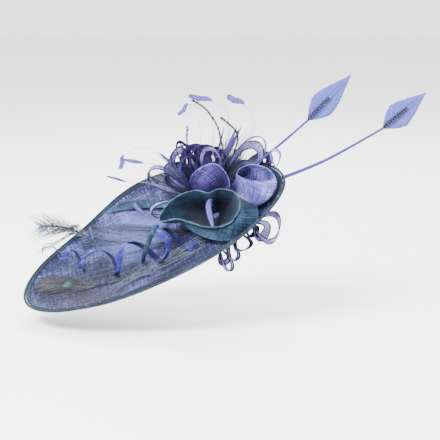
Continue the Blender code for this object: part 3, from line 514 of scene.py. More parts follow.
# Each finish has its maker and the maker's values, in the order of its arguments. A dye is a hex
# colour, or the name of one that the panel sets.
FINISHES = {
    "saucer": (saucer_dye_with_painted_light_and_shade,),
    # Stiffened sinamay dyed slate teal: dull, with pale slubs along the folds.
    "teal": (
        woven, "stiffened_sinamay_teal", ("#070f1c", "teal", "#3a5a74"),
        0.0026, 0.6, 0.35, 0.0, 0.6, 0.3,
    ),
    # The horn's inside: the same cloth with painted shade, near black in the throat.
    "teal_painted_shade": (
        woven, "shaded_sinamay_teal", ("#050b16", "#0f2336", "#324f68"),
        0.0026, 0.6, 0.35, 0.0, 0.6, 0.3, 0.05, 0.055,
    ),
    # The same cloth rolled tight at its edge, lighter with painted highlight.
    "teal_roll": (
        woven, "rolled_sinamay_teal", ("#081a26", "#163444", "#3a6072"),
        0.0020, 0.8, 0.25, 0.0, 0.55, 0.4,
    ),
    # Stiffened sinamay dyed violet, mottled, and shaded where it goes down to the pad.
    "violet": (
        woven, "stiffened_sinamay_violet", ("#0b0620", "violet", "#443a7c"),
        0.0026, 0.5, 0.4, 0.0, 0.6, 0.3, 0.05, 0.12,
    ),
    # The cup petal outside, thin and pale: a little of what is behind it shows.
    "violet_pale": (
        woven, "sheer_sinamay_violet", ("#201f50", "#4c4a8c", "#9290c8"),
        0.0028, 0.5, 0.45, 0.12, 0.6, 0.3,
    ),
    # Its inside, the same cloth with painted shade.
    "violet_painted_shade": (
        woven, "shaded_sinamay_violet", ("#0c0c28", "#23245a", "#6866ac"),
        0.0028, 0.5, 0.4, 0.0, 0.6, 0.3, 0.05, 0.09,
    ),
    # The same cloth rolled tight at the petals' edges: a thin pale line of painted highlight.
    "violet_roll": (
        woven, "rolled_sinamay_violet", ("#1c1950", "#3c387e", "#7b78ba"),
        0.0020, 0.7, 0.2, 0.0, 0.55, 0.4,
    ),
    # Cotton bias binding folded over the rim's wire: close, even and nearly black.
    "binding": (
        woven, "bias_binding_teal", ("#040b12", "#0a1a26", "#1b3442"),
        0.0016, 0.785, 0.15, 0.0, 0.6, 0.25,
    ),
    # Crinoline ribbon: open diagonal mesh of clear stiff yarn, pale lavender.
    "crinoline": (
        woven, "crinoline_lavender", ("#2c2560", "ribbon", "#a8a2d0"),
        0.0024, 0.785, 0.62, 0.75, 0.45, 0.3, 0.02,
    ),
    # The same mesh, closer and dyed midnight.
    "crinoline_dark": (
        woven, "crinoline_midnight", ("#0b0926", "#1b1844", "#38347a"),
        0.0022, 0.785, 0.4, 0.3, 0.45, 0.3, 0.02,
    ),
    # The same ribbon dyed purple.
    "magenta": (
        woven, "crinoline_purple", ("#1b0f3c", "#3c2468", "#6c4c9c"),
        0.0024, 0.785, 0.5, 0.6, 0.45, 0.3, 0.02,
    ),
    # Felted padding under the trim: close and dull.
    "padding": (
        woven, "felted_pad_violet", ("#100e30", "#252158", "#3f3b84"),
        0.0018, 0.3, 0.2, 0.0, 0.8, 0.4,
    ),
    # Thread whipped round a ribbon's edge: a fine beaded line.
    "edge_dark": (wound, "rolled_edge_midnight", "#05041a", "#19164a", 0.0016),
    "edge_light": (wound, "rolled_edge_lavender", "#4c4892", "#9490cc", 0.0016),
    # The quills' shafts, wound with silk: even rings.
    "shaft": (wound, "thread_wound_shaft", "#1a1b54", "#444890", 0.0018),
    # Goose quill vane, dyed and trimmed: silky barbs with a pale shaft.
    "vane": (barbed, "dyed_goose_vane_periwinkle", ("#3a3f84", "#484e98", "#5a60a8"), 0.5, 0.4),
    "rachis": (barbed, "feather_rachis_pale", ("#4e5090", "#7476b0", "#a4a4d2"), 0.4, 0.2),
    # The curled quill: glossy and bright outside, dark inside with painted shade.
    "quill_outer": (barbed, "curled_quill_blue", ("#0c0d44", "quill", "#4549b2"), 0.32, 0.3, 0.012),
    "quill_inner": (barbed, "curled_quill_navy", ("#030420", "#0a0b34", "#15174e"), 0.4, 0.2, 0.012),
    # Coque, biots and hackle: soft barbs, each dyed a little apart from the next.
    "coque": (barbed, "dyed_coque_lilac", ("#2e2b6c", "feather", "#6865b0"), 0.5, 0.4),
    "biot": (barbed, "dyed_biot_violet", ("#1a1840", "#34306a", "#5c5896"), 0.4, 0.3),
    "biot_magenta": (barbed, "dyed_biot_purple", ("#2e2056", "#4c3a7c", "#7262a4"), 0.4, 0.3),
    "hackle": (barbed, "hackle_grey_blue", ("#2a3450", "#4c587a", "#7e88a8"), 0.5, 0.4),
    "spine": (barbed, "stripped_coque_spine", ("#080914", "#16182e", "#30345a"), 0.5, 0.2),
    # Peacock herl: near black with a green or grey gleam along each barb.
    "herl": (barbed, "peacock_herl_green", ("#0a1318", "#1f2c34", "#464f58"), 0.38, 0.6),
    "herl_grey": (barbed, "peacock_herl_grey", ("#28303a", "#565f6e", "#9097a8"), 0.45, 0.5),
    # Cut glass beads and the comb's moulded nylon: small hard lights on a dark ground.
    "bead": (moulded, "cut_glass_bead_midnight", "#04050e", "#0e1226", 0.2, 0.2),
    "comb": (moulded, "moulded_nylon_comb", "#15181e", "#242932", 0.38, 0.0),
}
MATERIALS = {}


def dye(code):
    """The linear values of a hex colour, or of the panel's dye of that name."""
    if code.startswith("#"):
        return linear(code)
    return tuple(getattr(bpy.context.scene.hat_colours, code))


def material(name):
    """The named finish, made once."""
    if name not in MATERIALS:
        maker, *values = FINISHES[name]
        MATERIALS[name] = maker(*values)
    return MATERIALS[name]


def metres(name, words, default):
    """A size that the panel sets."""
    return bpy.props.FloatProperty(name=name, description=words, default=default, unit="LENGTH")


class HatSizes(bpy.types.PropertyGroup):
    """Sizes that change the look of the cloth and feathers."""

    saucer_thickness: metres("Saucer thickness", "Wall of the blocked cloth", 0.0013)
    hem_radius: metres("Rolled edge", "Radius of a rolled cloth edge", 0.0010)
    loop_edge: metres("Loop edge", "Radius of a ribbon loop's edge", 0.0011)
    barb_spacing: metres("Barb spacing", "From one barb to the next", 0.0009)
    stitch_pitch: metres("Stitch pitch", "From stitch to stitch at the rim", 0.0055)
    bead_pitch: metres("Bead pitch", "From bead to bead on a vane", 0.0046)


def swatch(name, words, code):
    """A dye that the panel sets, from its hex colour."""
    return bpy.props.FloatVectorProperty(
        name=name, description=words, default=linear(code), subtype="COLOR", size=3
    )


class HatColours(bpy.types.PropertyGroup):
    """Dyes and the colour of the stage."""

    saucer: swatch("Saucer", "Usual dye of the saucer's threads", "#181c44")
    teal: swatch("Horn", "Usual dye of the horn, wrap and leaves", "#132a3e")
    violet: swatch("Petal", "Usual dye of the upright petal", "#1b1340")
    ribbon: swatch("Ribbon", "Usual dye of the sheer ribbons", "#5f569a")
    quill: swatch("Quill", "Usual dye of the curled quill", "#1d1f76")
    feather: swatch("Feather", "Usual dye of the small feathers", "#47448e")
    floor: swatch("Floor", "Pale floor", "#f4f4f6")


def units_tree(name, *more):
    """A Geometry Nodes tree that sets units: the tree, its named inputs and its unit's geometry."""
    tree = bpy.data.node_groups.new(name, "GeometryNodeTree")
    for label, kind in (("Geometry", "Geometry"), ("Unit", "Object"), ("Material", "Material"), *more):
        tree.interface.new_socket(label, in_out="INPUT", socket_type="NodeSocket" + kind)
    tree.interface.new_socket("Geometry", in_out="OUTPUT", socket_type="NodeSocketGeometry")
    inside = add(tree, "NodeGroupInput", {}, None)
    return tree, inside, add(tree, "GeometryNodeObjectInfo", {"Object": inside["Unit"]}, "Geometry")


def put_units(tree, inside, sockets):
    """Ends a tree: the unit on each point by those sockets, made real and given its material."""
    put = add(tree, "GeometryNodeInstanceOnPoints", sockets)
    real = add(tree, "GeometryNodeRealizeInstances", {0: put})
    dressed = {"Geometry": real, "Material": inside["Material"]}
    add(tree, "NodeGroupOutput", {0: add(tree, "GeometryNodeSetMaterial", dressed)}, None)
    return tree


def instancer():
    """Geometry Nodes: a unit on each point of a mesh, turned and sized by the point's attributes."""
    more = (("Size spread", "Float"), ("Seed", "Int"))
    tree, inside, unit = units_tree("set_units_on_points", *more)
    facing = add(tree, "GeometryNodeInputNamedAttribute", {"Name": "facing"}, data_type="FLOAT_VECTOR")
    turned = add(tree, "FunctionNodeEulerToRotation", {0: facing})
    size = add(tree, "GeometryNodeInputNamedAttribute", {"Name": "size"}, data_type="FLOAT")
    least = add(tree, "ShaderNodeMath", {0: 1.0, 1: inside["Size spread"]}, operation="SUBTRACT")
    limits = {2: least, 3: 1.0, "Seed": inside["Seed"]}
    spread = add(tree, "FunctionNodeRandomValue", limits, 1, data_type="FLOAT")
    scale = add(tree, "ShaderNodeMath", {0: size, 1: spread}, operation="MULTIPLY")
    sockets = {"Points": inside["Geometry"], "Instance": unit, "Rotation": turned, "Scale": scale}
    return put_units(tree, inside, sockets)


def follower():
    """Geometry Nodes: a unit at each pitch along a line, its Z along the line."""
    tree, inside, unit = units_tree("set_units_along_line", ("Pitch", "Float"), ("Size", "Float"))
    line = add(tree, "GeometryNodeMeshToCurve", {0: inside["Geometry"]})
    steps = {"Curve": line, "Length": inside["Pitch"]}
    stops = add(tree, "GeometryNodeCurveToPoints", steps, None, mode="LENGTH")
    sockets = {"Points": stops["Points"], "Instance": unit, "Rotation": stops["Rotation"]}
    sockets["Scale"] = inside["Size"]
    return put_units(tree, inside, sockets)


def set_units(name, mesh, unit, finish, tree, values):
    """Runs a tree on a carrier mesh and keeps what it makes as a plain mesh object."""
    carrier = linked(name + "_carrier", mesh)
    modifier = carrier.modifiers.new("units", "NODES")
    modifier.node_group = tree
    values |= {"Unit": unit, "Material": material(finish)}
    for item in tree.interface.items_tree:
        if item.in_out == "INPUT" and item.name in values:
            modifier[item.identifier] = values[item.name]
    evaluated = carrier.evaluated_get(bpy.context.evaluated_depsgraph_get())
    made = bpy.data.meshes.new_from_object(evaluated)
    made.name = name
    for used in (carrier, unit):
        bpy.data.objects.remove(used, do_unlink=True)
    return linked(name, made)


def unit_object(name, shape):
    """A small mesh about the origin, which only the node trees use."""
    return linked(name, mesh_of(name, shape, shape.points))


def set_on_points(name, spots, unit, finish, spread, seed):
    """Units on points: each spot is a point, the direction its Z takes and its size."""
    mesh = bpy.data.meshes.new(name)
    mesh.from_pydata([worn(point) for point, _, _ in spots], [], [])
    mesh.attributes.new("facing", "FLOAT_VECTOR", "POINT")
    mesh.attributes.new("size", "FLOAT", "POINT")
    turns = []
    for _, way, _ in spots:
        turns += list((WORN @ way).to_track_quat("Z", "Y").to_euler())
    mesh.attributes["facing"].data.foreach_set("vector", turns)
    mesh.attributes["size"].data.foreach_set("value", [size for _, _, size in spots])
    return set_units(name, mesh, unit, finish, instancer(), {"Size spread": spread, "Seed": seed})


def set_along(name, points, closed, unit, finish, pitch, size):
    """Units along a line of points."""
    count = len(points)
    edges = [(k, (k + 1) % count) for k in range(count if closed else count - 1)]
    mesh = bpy.data.meshes.new(name)
    mesh.from_pydata([worn(p) for p in points], edges, [])
    return set_units(name, mesh, unit, finish, follower(), {"Pitch": pitch, "Size": size})


def strand_unit(name, curl, thick, sides=3, steps=6):
    """A tapered strand one metre long up Z that bends over towards X by curl."""
    points = [Vector((curl * (k / steps) ** 2, 0, k / steps)) for k in range(steps + 1)]
    radii = [thick * (1 - 0.85 * k / steps) for k in range(steps + 1)]
    return unit_object(name, Shape().tube(points, radii, sides, 1.0, front=Vector((0, 1, 0))))


SAUCER_TURNS = 220
SAUCER_RINGS = 46
# Pleats pressed into the blocked cloth: where each starts and ends, and how wide it is.
PLEATS = (
    # along, across, along, across, width
    (-0.10, -0.66, 0.44, -0.55, 0.006),
    (-0.30, -0.62, 0.30, -0.62, 0.004),
    (-0.62, 0.10, -0.10, 0.62, 0.005),
    (-0.80, -0.10, -0.30, 0.42, 0.004),
)
PLEAT_DROP = 0.0007


def pleat_drop(x, y):
    """How far the pleats press the cloth down there."""
    drop = 0.0
    for a, b, c, d, width in PLEATS:
        start = Vector((a * HALF_LENGTH, b * HALF_WIDTH))
        run = Vector((c * HALF_LENGTH, d * HALF_WIDTH)) - start
        away = Vector((x, y)) - start
        share = max(0.0, min(1.0, away.dot(run) / run.length_squared))
        apart = (away - run * share).length
        drop += PLEAT_DROP * math.exp(-((apart / width) ** 2) * 2)
    return drop


def saucer_rows(first, last, rings, rise):
    """Rows round the saucer from one share of its reach to another, that far over its face."""
    rows = []
    for i in range(SAUCER_TURNS):
        turn = math.tau * i / SAUCER_TURNS
        row = []
        for k in range(rings):
            out = first + (last - first) * k / (rings - 1)
            x, y = HALF_LENGTH * out * math.cos(turn), HALF_WIDTH * out * math.sin(turn)
            ripple = noise.noise(Vector((x, y, 0)) / 0.03) * 0.0003 - 0.0003
            sunk = (pleat_drop(x, y) - ripple) * (out < LIP_START)
            row.append(Vector((x, y, dish(x, y) + rise - sunk)))
        rows.append(row)
    return rows


def make_saucer():
    """The blocked cloth, with a closed middle and pleats pressed into it."""
    sizes = bpy.context.scene.hat_sizes
    shape = Shape().grid(saucer_rows(0.004, 1.0, SAUCER_RINGS, 0), True, True)
    middle = [i * SAUCER_RINGS for i in reversed(range(SAUCER_TURNS))]
    shape.face(middle, uvs=[tuple(shape.points[k].xy) for k in middle])
    shape.flip()
    obj = cloth(
        "blocked_saucer", shape, material("saucer"), ["saucer"], sizes.saucer_thickness, -1,
    )


def rim_point(turn):
    """The middle of the rim wire, which lies against the saucer's edge."""
    x, y = HALF_LENGTH * math.cos(turn), HALF_WIDTH * math.sin(turn)
    out = Vector((x / HALF_LENGTH**2, y / HALF_WIDTH**2, 0)).normalized()
    inner = Vector((x, y, 0)) - out * RIM_WIRE
    steep = max(0.0, (dish(x, y) - dish(inner.x, inner.y)) / RIM_WIRE)
    return Vector((x, y, dish(x, y) - WALL / 2)) + out * (RIM_WIRE + GAP + WALL * steep)


BINDING_IN = 0.972
BINDING_RINGS = 6
BINDING_OUT = 0.996
BINDING_THICK = 0.0005
HEM_ABOVE = 0.0004
HEM_BELOW = -0.0022


def make_rim():
    """Bias binding folded over the wire, with its hems above and below the cloth and stitches."""
    turns = [math.tau * i / SAUCER_TURNS for i in range(SAUCER_TURNS)]
    shape = Shape().tube([rim_point(t) for t in turns], [RIM_WIRE] * SAUCER_TURNS, 12, closed=True)
    piece("rim_binding", shape, material("binding"), ["rim_wire"])
    over = Shape().grid(saucer_rows(BINDING_IN, BINDING_OUT, BINDING_RINGS, HEM_ABOVE), True)
    cloth("binding_hem_above", over, material("binding"), thick=BINDING_THICK)
    under = Shape().grid(saucer_rows(BINDING_IN - 0.02, BINDING_OUT, BINDING_RINGS, HEM_BELOW), True)
    cloth("binding_hem_below", under, material("binding"), thick=BINDING_THICK)
    sizes = bpy.context.scene.hat_sizes
    line = [row[0] + Vector((0, 0, 0.0004)) for row in saucer_rows(BINDING_IN + 0.004, 1, 2, 0.0005)]
    stitch = [Vector((0, 0, (k - 2) * 0.0006)) for k in range(5)]
    unit = unit_object(
        "stitch", Shape().tube(stitch, [0.0001, 0.00022, 0.00026, 0.00022, 0.0001], 5,
                               front=Vector((0, 1, 0)))
    )
    obj = set_along("rim_stitches", line, True, unit, "teal_roll", sizes.stitch_pitch, 1.0)
    settle(obj)


def make_comb():
    """The comb: its solid with welded and softened edges."""
    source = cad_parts["comb"]
    mesh = source.data.copy()
    mesh.name = "moulded_comb"
    mesh.transform(source.matrix_world)
    mesh.materials.clear()
    mesh.materials.append(material("comb"))
    obj = linked("moulded_comb", mesh)
    weld = obj.modifiers.new("weld", "WELD")
    weld.merge_threshold = 0.00001
    soft = obj.modifiers.new("soft", "BEVEL")
    soft.width = 0.0003
    soft.segments = 2
    soft.limit_method = "ANGLE"
    settle(obj, ["comb"])


HORN_LIP = (
    # along, across, up
    (0.10, -0.04, 1.00),
    (0.15, 0.09, 1.04),
    (0.23, 0.15, 1.12),
    (0.33, 0.13, 1.20),
    (0.43, 0.03, 1.26),
    (0.50, -0.13, 1.26),
    (0.58, -0.18, 1.28),
    (0.67, -0.36, 1.16),
    (0.68, -0.60, 0.96),
    (0.62, -0.73, 0.72),
    (0.51, -0.70, 0.70),
    (0.40, -0.55, 0.80),
    (0.31, -0.34, 0.92),
    (0.22, -0.14, 0.98),
)
HORN_MIDDLE = (0.48, -0.22, 0.95)
HORN_ROOT = (0.46, 0.07, 0.0)
HORN_THROAT = 0.007
HORN_SWELL = 0.2
HORN_AROUND = 112
HORN_DOWN = 30
FOLD_DEPTH = 0.0007


def horn_point(around, down):
    """A point on the horn: around its mouth from the left tip, down from lip to root."""
    rows = [Vector(row) for row in HORN_LIP]
    at = around % 1 * len(rows)
    first = int(at)
    near = [rows[(first + k) % len(rows)] for k in (-1, 0, 1, 2)]
    lip = place(*[catmull(column, at - first) for column in zip(*near)])
    turn = math.pi - math.tau * around
    root = place(*HORN_ROOT) + HORN_THROAT * Vector((math.cos(turn), math.sin(turn), 0))
    belly = (lip + root) / 2 + HORN_SWELL * (lip - place(*HORN_MIDDLE))
    bend = belly * 2 - (lip + root) / 2
    return lip * (1 - down) ** 2 + bend * 2 * down * (1 - down) + root * down**2


def horn_out(around, down):
    """The direction square to the horn's wall there, away from its inside."""
    here = horn_point(around, down)
    step = 0.01
    out = (horn_point(around + step, down) - here).cross(horn_point(around, down + step) - here)
    inside = place(*HORN_MIDDLE) - here
    return out.normalized() * (-1 if out.dot(inside) > 0 else 1)


def hem(name, points, finish, radius, closed=False):
    """A rolled edge: a fine tube along a cloth's edge, thinned at open ends."""
    count = len(points)
    radii = [radius] * count
    if not closed:
        radii = [radius * (0.35 + 0.65 * blend(min(k, count - 1 - k) / 6)) for k in range(count)]
    return piece(name, Shape().tube(points, radii, 8, closed=closed), material(finish))


def make_horn():
    """The horn's cloth, dark inside, and its rolled edge."""
    sizes = bpy.context.scene.hat_sizes
    rows = []
    for i in range(HORN_AROUND):
        row = []
        for j in range(HORN_DOWN):
            around, down = i / HORN_AROUND, j / (HORN_DOWN - 1)
            point = horn_point(around, down)
            fold = math.sin(around * math.tau * 9) * FOLD_DEPTH * math.sin(math.pi * down)
            point -= horn_out(around, down) * abs(fold)
            row.append(above_dish(point, CLOTH / 2 + GAP))
        rows.append(row)
    finishes = [material("teal"), material("teal_painted_shade")]
    obj = cloth("rolled_horn", Shape().grid(rows, True), finishes, ["horn"],
                middle=place(*HORN_MIDDLE))
    edge = hem("horn_rolled_edge", [row[0] for row in rows], "teal_roll",
               sizes.hem_radius * 1.3, True)


WRAP_ROWS = (
    # around, along, across, up
    (0.93, 0.23, -0.05, 0.52),
    (0.88, 0.25, -0.10, 0.50),
    (0.83, 0.30, -0.29, 0.44),
    (0.78, 0.38, -0.50, 0.30),
    (0.72, 0.47, -0.66, 0.16),
    (0.66, 0.56, -0.71, 0.04),
    (0.60, 0.66, -0.63, 0.04),
    (0.55, 0.74, -0.53, 0.06),
    (0.51, 0.77, -0.42, 0.30),
)
WRAP_TUCK = 0.22
WRAP_CLEAR = 0.0005
WRAP_AROUND = 64
WRAP_ACROSS = 14


def make_wrap():
    """The fold that goes round under the horn, and its rolled edge."""
    sizes = bpy.context.scene.hat_sizes
    rows = []
    for around, along, across, up in through(WRAP_ROWS, WRAP_AROUND):
        outer = place(along, across, up)
        inner = horn_point(around, WRAP_TUCK)
        inner += horn_out(around, WRAP_TUCK) * (CLOTH + GAP + WRAP_CLEAR)
        row = [outer.lerp(inner, k / (WRAP_ACROSS - 1)) for k in range(WRAP_ACROSS)]
        rows.append([above_dish(p, CLOTH / 2 + GAP) for p in row])
    obj = cloth("folded_wrap", Shape().grid(rows), material("teal"), ["wrap"])
    edge = hem("wrap_rolled_edge", [row[0] + Vector((0, 0, 0.0006)) for row in rows],
               "teal_roll", sizes.hem_radius)


def section(lip, belly, root, count):
    """Points from lip through belly to root."""
    bend = belly * 2 - (lip + root) / 2
    shares = [k / (count - 1) for k in range(count)]
    return [lip * (1 - s) ** 2 + bend * 2 * s * (1 - s) + root * s * s for s in shares]


UPRIGHT_PETAL = (
    # lip along, across, up, belly along, across, up
    (0.39, 0.22, 1.25, 0.41, 0.20, 0.62),
    (0.45, 0.21, 1.54, 0.45, 0.15, 0.84),
    (0.54, 0.18, 1.66, 0.50, 0.12, 0.92),
    (0.61, 0.15, 1.63, 0.55, 0.11, 0.90),
    (0.65, 0.11, 1.40, 0.58, 0.11, 0.76),
    (0.66, 0.06, 1.05, 0.59, 0.10, 0.56),
    (0.64, 0.02, 0.76, 0.58, 0.10, 0.42),
)
CUP_PETAL = (
    # lip along, across, up, belly along, across, up
    (0.77, 0.20, 0.87, 0.69, 0.25, 0.44),
    (0.84, 0.21, 0.77, 0.75, 0.25, 0.38),
    (0.89, 0.17, 0.64, 0.81, 0.19, 0.30),
    (0.94, 0.07, 0.52, 0.87, 0.06, 0.22),
    (0.95, -0.07, 0.38, 0.88, -0.16, 0.16),
    (0.88, -0.18, 0.65, 0.82, -0.33, 0.18),
    (0.80, -0.09, 0.79, 0.75, -0.30, 0.24),
    (0.73, 0.07, 0.90, 0.70, -0.10, 0.36),
    (0.73, 0.18, 0.84, 0.66, 0.20, 0.42),
)
CUP_ROOT = (0.56, 0.20, 0.14)
CUP_THROAT = 0.008
CUP_MIDDLE = (0.80, 0.05, 0.50)
CUP_FROM = 120
CUP_AROUND = 90
UPRIGHT_FROM = 215
UPRIGHT_SWEEP = 110
UPRIGHT_RISE = 0.4
UPRIGHT_ROOT = 0.010
UPRIGHT_AROUND = 52
PETAL_DOWN = 24


def make_petals():
    """The upright petal and the cup petal with their rolled edges."""
    sizes = bpy.context.scene.hat_sizes
    rows = []
    for index, row in enumerate(through(UPRIGHT_PETAL, UPRIGHT_AROUND)):
        lip, belly = place(*row[:3]), place(*row[3:])
        turn = math.radians(UPRIGHT_FROM + UPRIGHT_SWEEP * index / (UPRIGHT_AROUND - 1))
        out = Vector((math.cos(turn), math.sin(turn), UPRIGHT_RISE))
        root = PAD + out * (PAD_RADIUS - UPRIGHT_ROOT / 2)
        rows.append([outside_pad(p, CLOTH) for p in section(lip, belly, root, PETAL_DOWN)])
    obj = cloth("upright_petal_cloth", Shape().grid(rows), material("violet"),
                ["upright_petal"])
    edge = hem("upright_petal_edge", [row[0] for row in rows], "violet_roll",
               sizes.hem_radius)
    rows = []
    centre = place(*CUP_ROOT)
    for index, row in enumerate(through(CUP_PETAL, CUP_AROUND, closed=True)):
        lip, belly = place(*row[:3]), place(*row[3:])
        turn = math.radians(CUP_FROM) - math.tau * index / CUP_AROUND
        root = centre + CUP_THROAT * Vector((0, math.cos(turn), math.sin(turn)))
        made = [outside_pad(p, CLOTH) for p in section(lip, belly, root, PETAL_DOWN)]
        rows.append([above_dish(p, CLOTH / 2 + GAP) for p in made])
    finishes = [material("violet_pale"), material("violet_painted_shade")]
    obj = cloth("cup_petal_cloth", Shape().grid(rows, True), finishes,
                ["cup_petal"], middle=place(*CUP_MIDDLE))
    edge = hem("cup_petal_edge", [row[0] for row in rows], "violet_roll",
               sizes.hem_radius, True)


def band(points, widths, leans, bow=0.0, across=6):
    """Rows of a ribbon: leans turns its face from the front to edge on, bow curves it across."""
    rows = []
    for point, run, width, lean in zip(points, tangents(points), widths, leans):
        side = run.cross(FRONT).normalized()
        face = side.cross(run).normalized()
        angle = math.radians(lean)
        wide = side * math.cos(angle) + face * math.sin(angle)
        deep = face * math.cos(angle) - side * math.sin(angle)
        row = []
        for k in range(across + 1):
            share = 2 * k / across - 1
            row.append(point + wide * width * share / 2 - deep * bow * width * share * share)
        rows.append(row)
    return rows


HORN_TAIL = (
    # along, across, up, width, lean
    (0.07, -0.02, 0.90, 0.008, 20),
    (0.02, -0.10, 0.86, 0.007, 10),
    (-0.02, -0.16, 0.76, 0.007, 10),
    (-0.08, -0.27, 0.58, 0.006, 0),
    (-0.12, -0.25, 0.30, 0.005, 0),
    (-0.14, -0.18, 0.01, 0.003, 0),
)
SIDE_LEAF = (
    # along, across, up, width, lean
    (-0.28, 0.91, 0.04, 0.002, 50),
    (-0.16, 0.86, 0.07, 0.014, 50),
    (-0.01, 0.75, 0.10, 0.018, 50),
    (0.12, 0.62, 0.14, 0.018, 50),
    (0.22, 0.52, 0.22, 0.014, 40),
    (0.33, 0.40, 0.30, 0.008, 30),
)
THROAT_RIBBON = (
    # along, across, up, width
    (0.48, -0.05, 0.76, 0.007),
    (0.48, -0.09, 0.86, 0.010),
    (0.46, -0.20, 0.92, 0.009),
    (0.45, -0.38, 0.90, 0.008),
)
THROAT_END = 0.76
THROAT_DOWN = 0.08
THROAT_END_WIDTH = 0.004


def make_strips():
    """The horn's tail, the side leaf and the ribbon in the horn's throat."""
    sizes = bpy.context.scene.hat_sizes
    for node, table, flat, bow in (
        ("horn_tail", HORN_TAIL, (0.010, 0.105), 0.15), ("side_leaf", SIDE_LEAF, (0.026, 0.155), 0.06),
    ):
        curve = through(table, 60)
        rows = band([place(*r[:3]) for r in curve], [r[3] for r in curve], [r[4] for r in curve], bow)
        rows = [[above_dish(p, CLOTH / 2 + GAP) for p in row] for row in rows]
        obj = cloth(node + "_cloth", Shape().grid(rows), material("teal"), [node])
        for side, at in (("upper", 0), ("lower", -1)):
            line = [row[at] + Vector((0, 0, 0.0005)) for row in rows]
            edge = hem(f"{node}_{side}_edge", line, "teal_roll", sizes.hem_radius * 0.8)
    rise = CLOTH + GAP
    end = horn_point(THROAT_END, THROAT_DOWN) - horn_out(THROAT_END, THROAT_DOWN) * rise
    stops = [(*place(*row[:3]), row[3]) for row in THROAT_RIBBON] + [(*end, THROAT_END_WIDTH)]
    curve = through(stops, 40)
    rows = band([Vector(r[:3]) for r in curve], [r[3] for r in curve], [0] * 40, 0.2)
    obj = cloth("throat_ribbon_cloth", Shape().grid(rows), material("coque"),
                ["throat_ribbon"], 0.0008)


PAD_LOOPS = (
    # name, tip along, across, up, open, width, turned, finish, edge finish
    ("dark_edged_loop", 0.15, 0.68, 1.30, 0.030, 0.010, 40, "crinoline", "edge_dark"),
    ("horn_side_loop", 0.06, 0.23, 0.92, 0.022, 0.008, 40, "crinoline", "edge_dark"),
    ("tall_sheer_loop", 0.985, 0.57, 0.63, 0.038, 0.014, 8, "crinoline", "edge_light"),
    ("dark_arc_loop", 0.40, 0.46, 2.10, 0.050, 0.008, -35, "crinoline_dark", "edge_dark"),
    ("small_arc_loop", 0.42, 0.28, 2.03, 0.034, 0.006, -35, "crinoline_dark", "edge_dark"),
)
BRIM_LOOPS = (
    # name, base along, across, tip along, across, up, open, width, turned, finish, edge finish
    ("side_sheer_loop", 0.68, -0.46, 0.84, -0.56, -0.88, 0.044, 0.016, 40, "crinoline", "edge_dark"),
    ("dark_brim_loop", 0.58, -0.56, 0.57, -0.67, -0.54, 0.026, 0.009, 40, "crinoline_dark", "edge_dark"),
    ("violet_brim_loop", 0.50, -0.60, 0.48, -0.69, -0.68, 0.015, 0.008, 40, "crinoline", "edge_dark"),
    ("drop_loop", 0.42, -0.62, 0.42, -0.70, -0.92, 0.013, 0.007, 40, "crinoline", "edge_dark"),
)
FAR_LOOP = ("far_sheer_loop", 13, 1.04, 0.24, 0.62, 0.015, 0.006, 20, "crinoline", "edge_light")
# Fine strips that curl out of the pad between the loops, by where their tips are seen.
CURLS = (
    # name, pixel across, pixel down, share across the saucer, open, width, turned, finish, edge
    ("band_curl", 268, 153, 0.60, 0.024, 0.006, 8, "crinoline_dark", "edge_dark"),
    ("inner_band_curl", 262, 160, 0.50, 0.018, 0.005, 8, "crinoline_dark", "edge_dark"),
    ("marked_curl", 211, 149, 0.34, 0.030, 0.012, 20, "crinoline", "edge_dark"),
    ("magenta_curl", 197, 148, 0.38, 0.034, 0.005, -35, "magenta", "edge_dark"),
    ("low_arc_curl", 183, 155, 0.42, 0.026, 0.006, -30, "crinoline_dark", "edge_dark"),
    ("left_arc_curl", 176, 164, 0.40, 0.026, 0.007, 30, "crinoline", "edge_dark"),
    ("left_low_curl", 168, 176, 0.36, 0.022, 0.008, 30, "crinoline_dark", "edge_dark"),
    ("middle_curl", 224, 156, 0.30, 0.020, 0.007, 10, "crinoline_dark", "edge_dark"),
    ("right_curl", 248, 163, 0.42, 0.022, 0.009, 12, "crinoline", "edge_dark"),
    ("small_right_curl", 256, 168, 0.46, 0.016, 0.006, 8, "crinoline_dark", "edge_dark"),
    ("sheer_back_curl", 232, 160, 0.50, 0.026, 0.012, 16, "crinoline", "edge_light"),
    ("sheer_dome_curl", 258, 146, 0.50, 0.036, 0.015, 10, "crinoline", "edge_dark"),
    ("violet_band_curl", 270, 157, 0.44, 0.024, 0.011, 10, "magenta", "edge_dark"),
    ("broad_left_curl", 176, 153, 0.38, 0.030, 0.015, -20, "crinoline", "edge_dark"),
    ("broad_purple_curl", 191, 148, 0.42, 0.038, 0.013, -10, "magenta", "edge_dark"),
    ("broad_middle_curl", 206, 148, 0.46, 0.034, 0.015, 10, "magenta", "edge_dark"),
    ("broad_right_curl", 217, 150, 0.44, 0.026, 0.013, 10, "crinoline_dark", "edge_dark"),
    ("broad_low_curl", 168, 166, 0.38, 0.024, 0.011, 10, "crinoline", "edge_dark"),
    ("top_dark_curl", 178, 143, 0.46, 0.020, 0.004, -35, "crinoline_dark", "edge_dark"),
)
BRIM_CURLS = (
    # name, base pixels, tip pixels, share across at base and tip, open, width, turned, looks
    ("brim_outer_curl", 252, 222, 264, 234, -0.50, -0.56, 0.026, 0.012, 40, "crinoline", "edge_dark"),
    ("brim_inner_curl", 246, 226, 254, 233, -0.52, -0.58, 0.018, 0.008, 40, "crinoline_dark", "edge_dark"),
    ("brim_twist_curl", 222, 240, 224, 262, -0.60, -0.66, 0.016, 0.008, 40, "magenta", "edge_dark"),
)
CURL_FLAT = 0.7
LOOP_STEPS = 72
LOOP_NECK = 0.25
LOOP_FULL = 0.70
LOOP_GATHER = 0.25
LOOP_CLEAR = 0.001


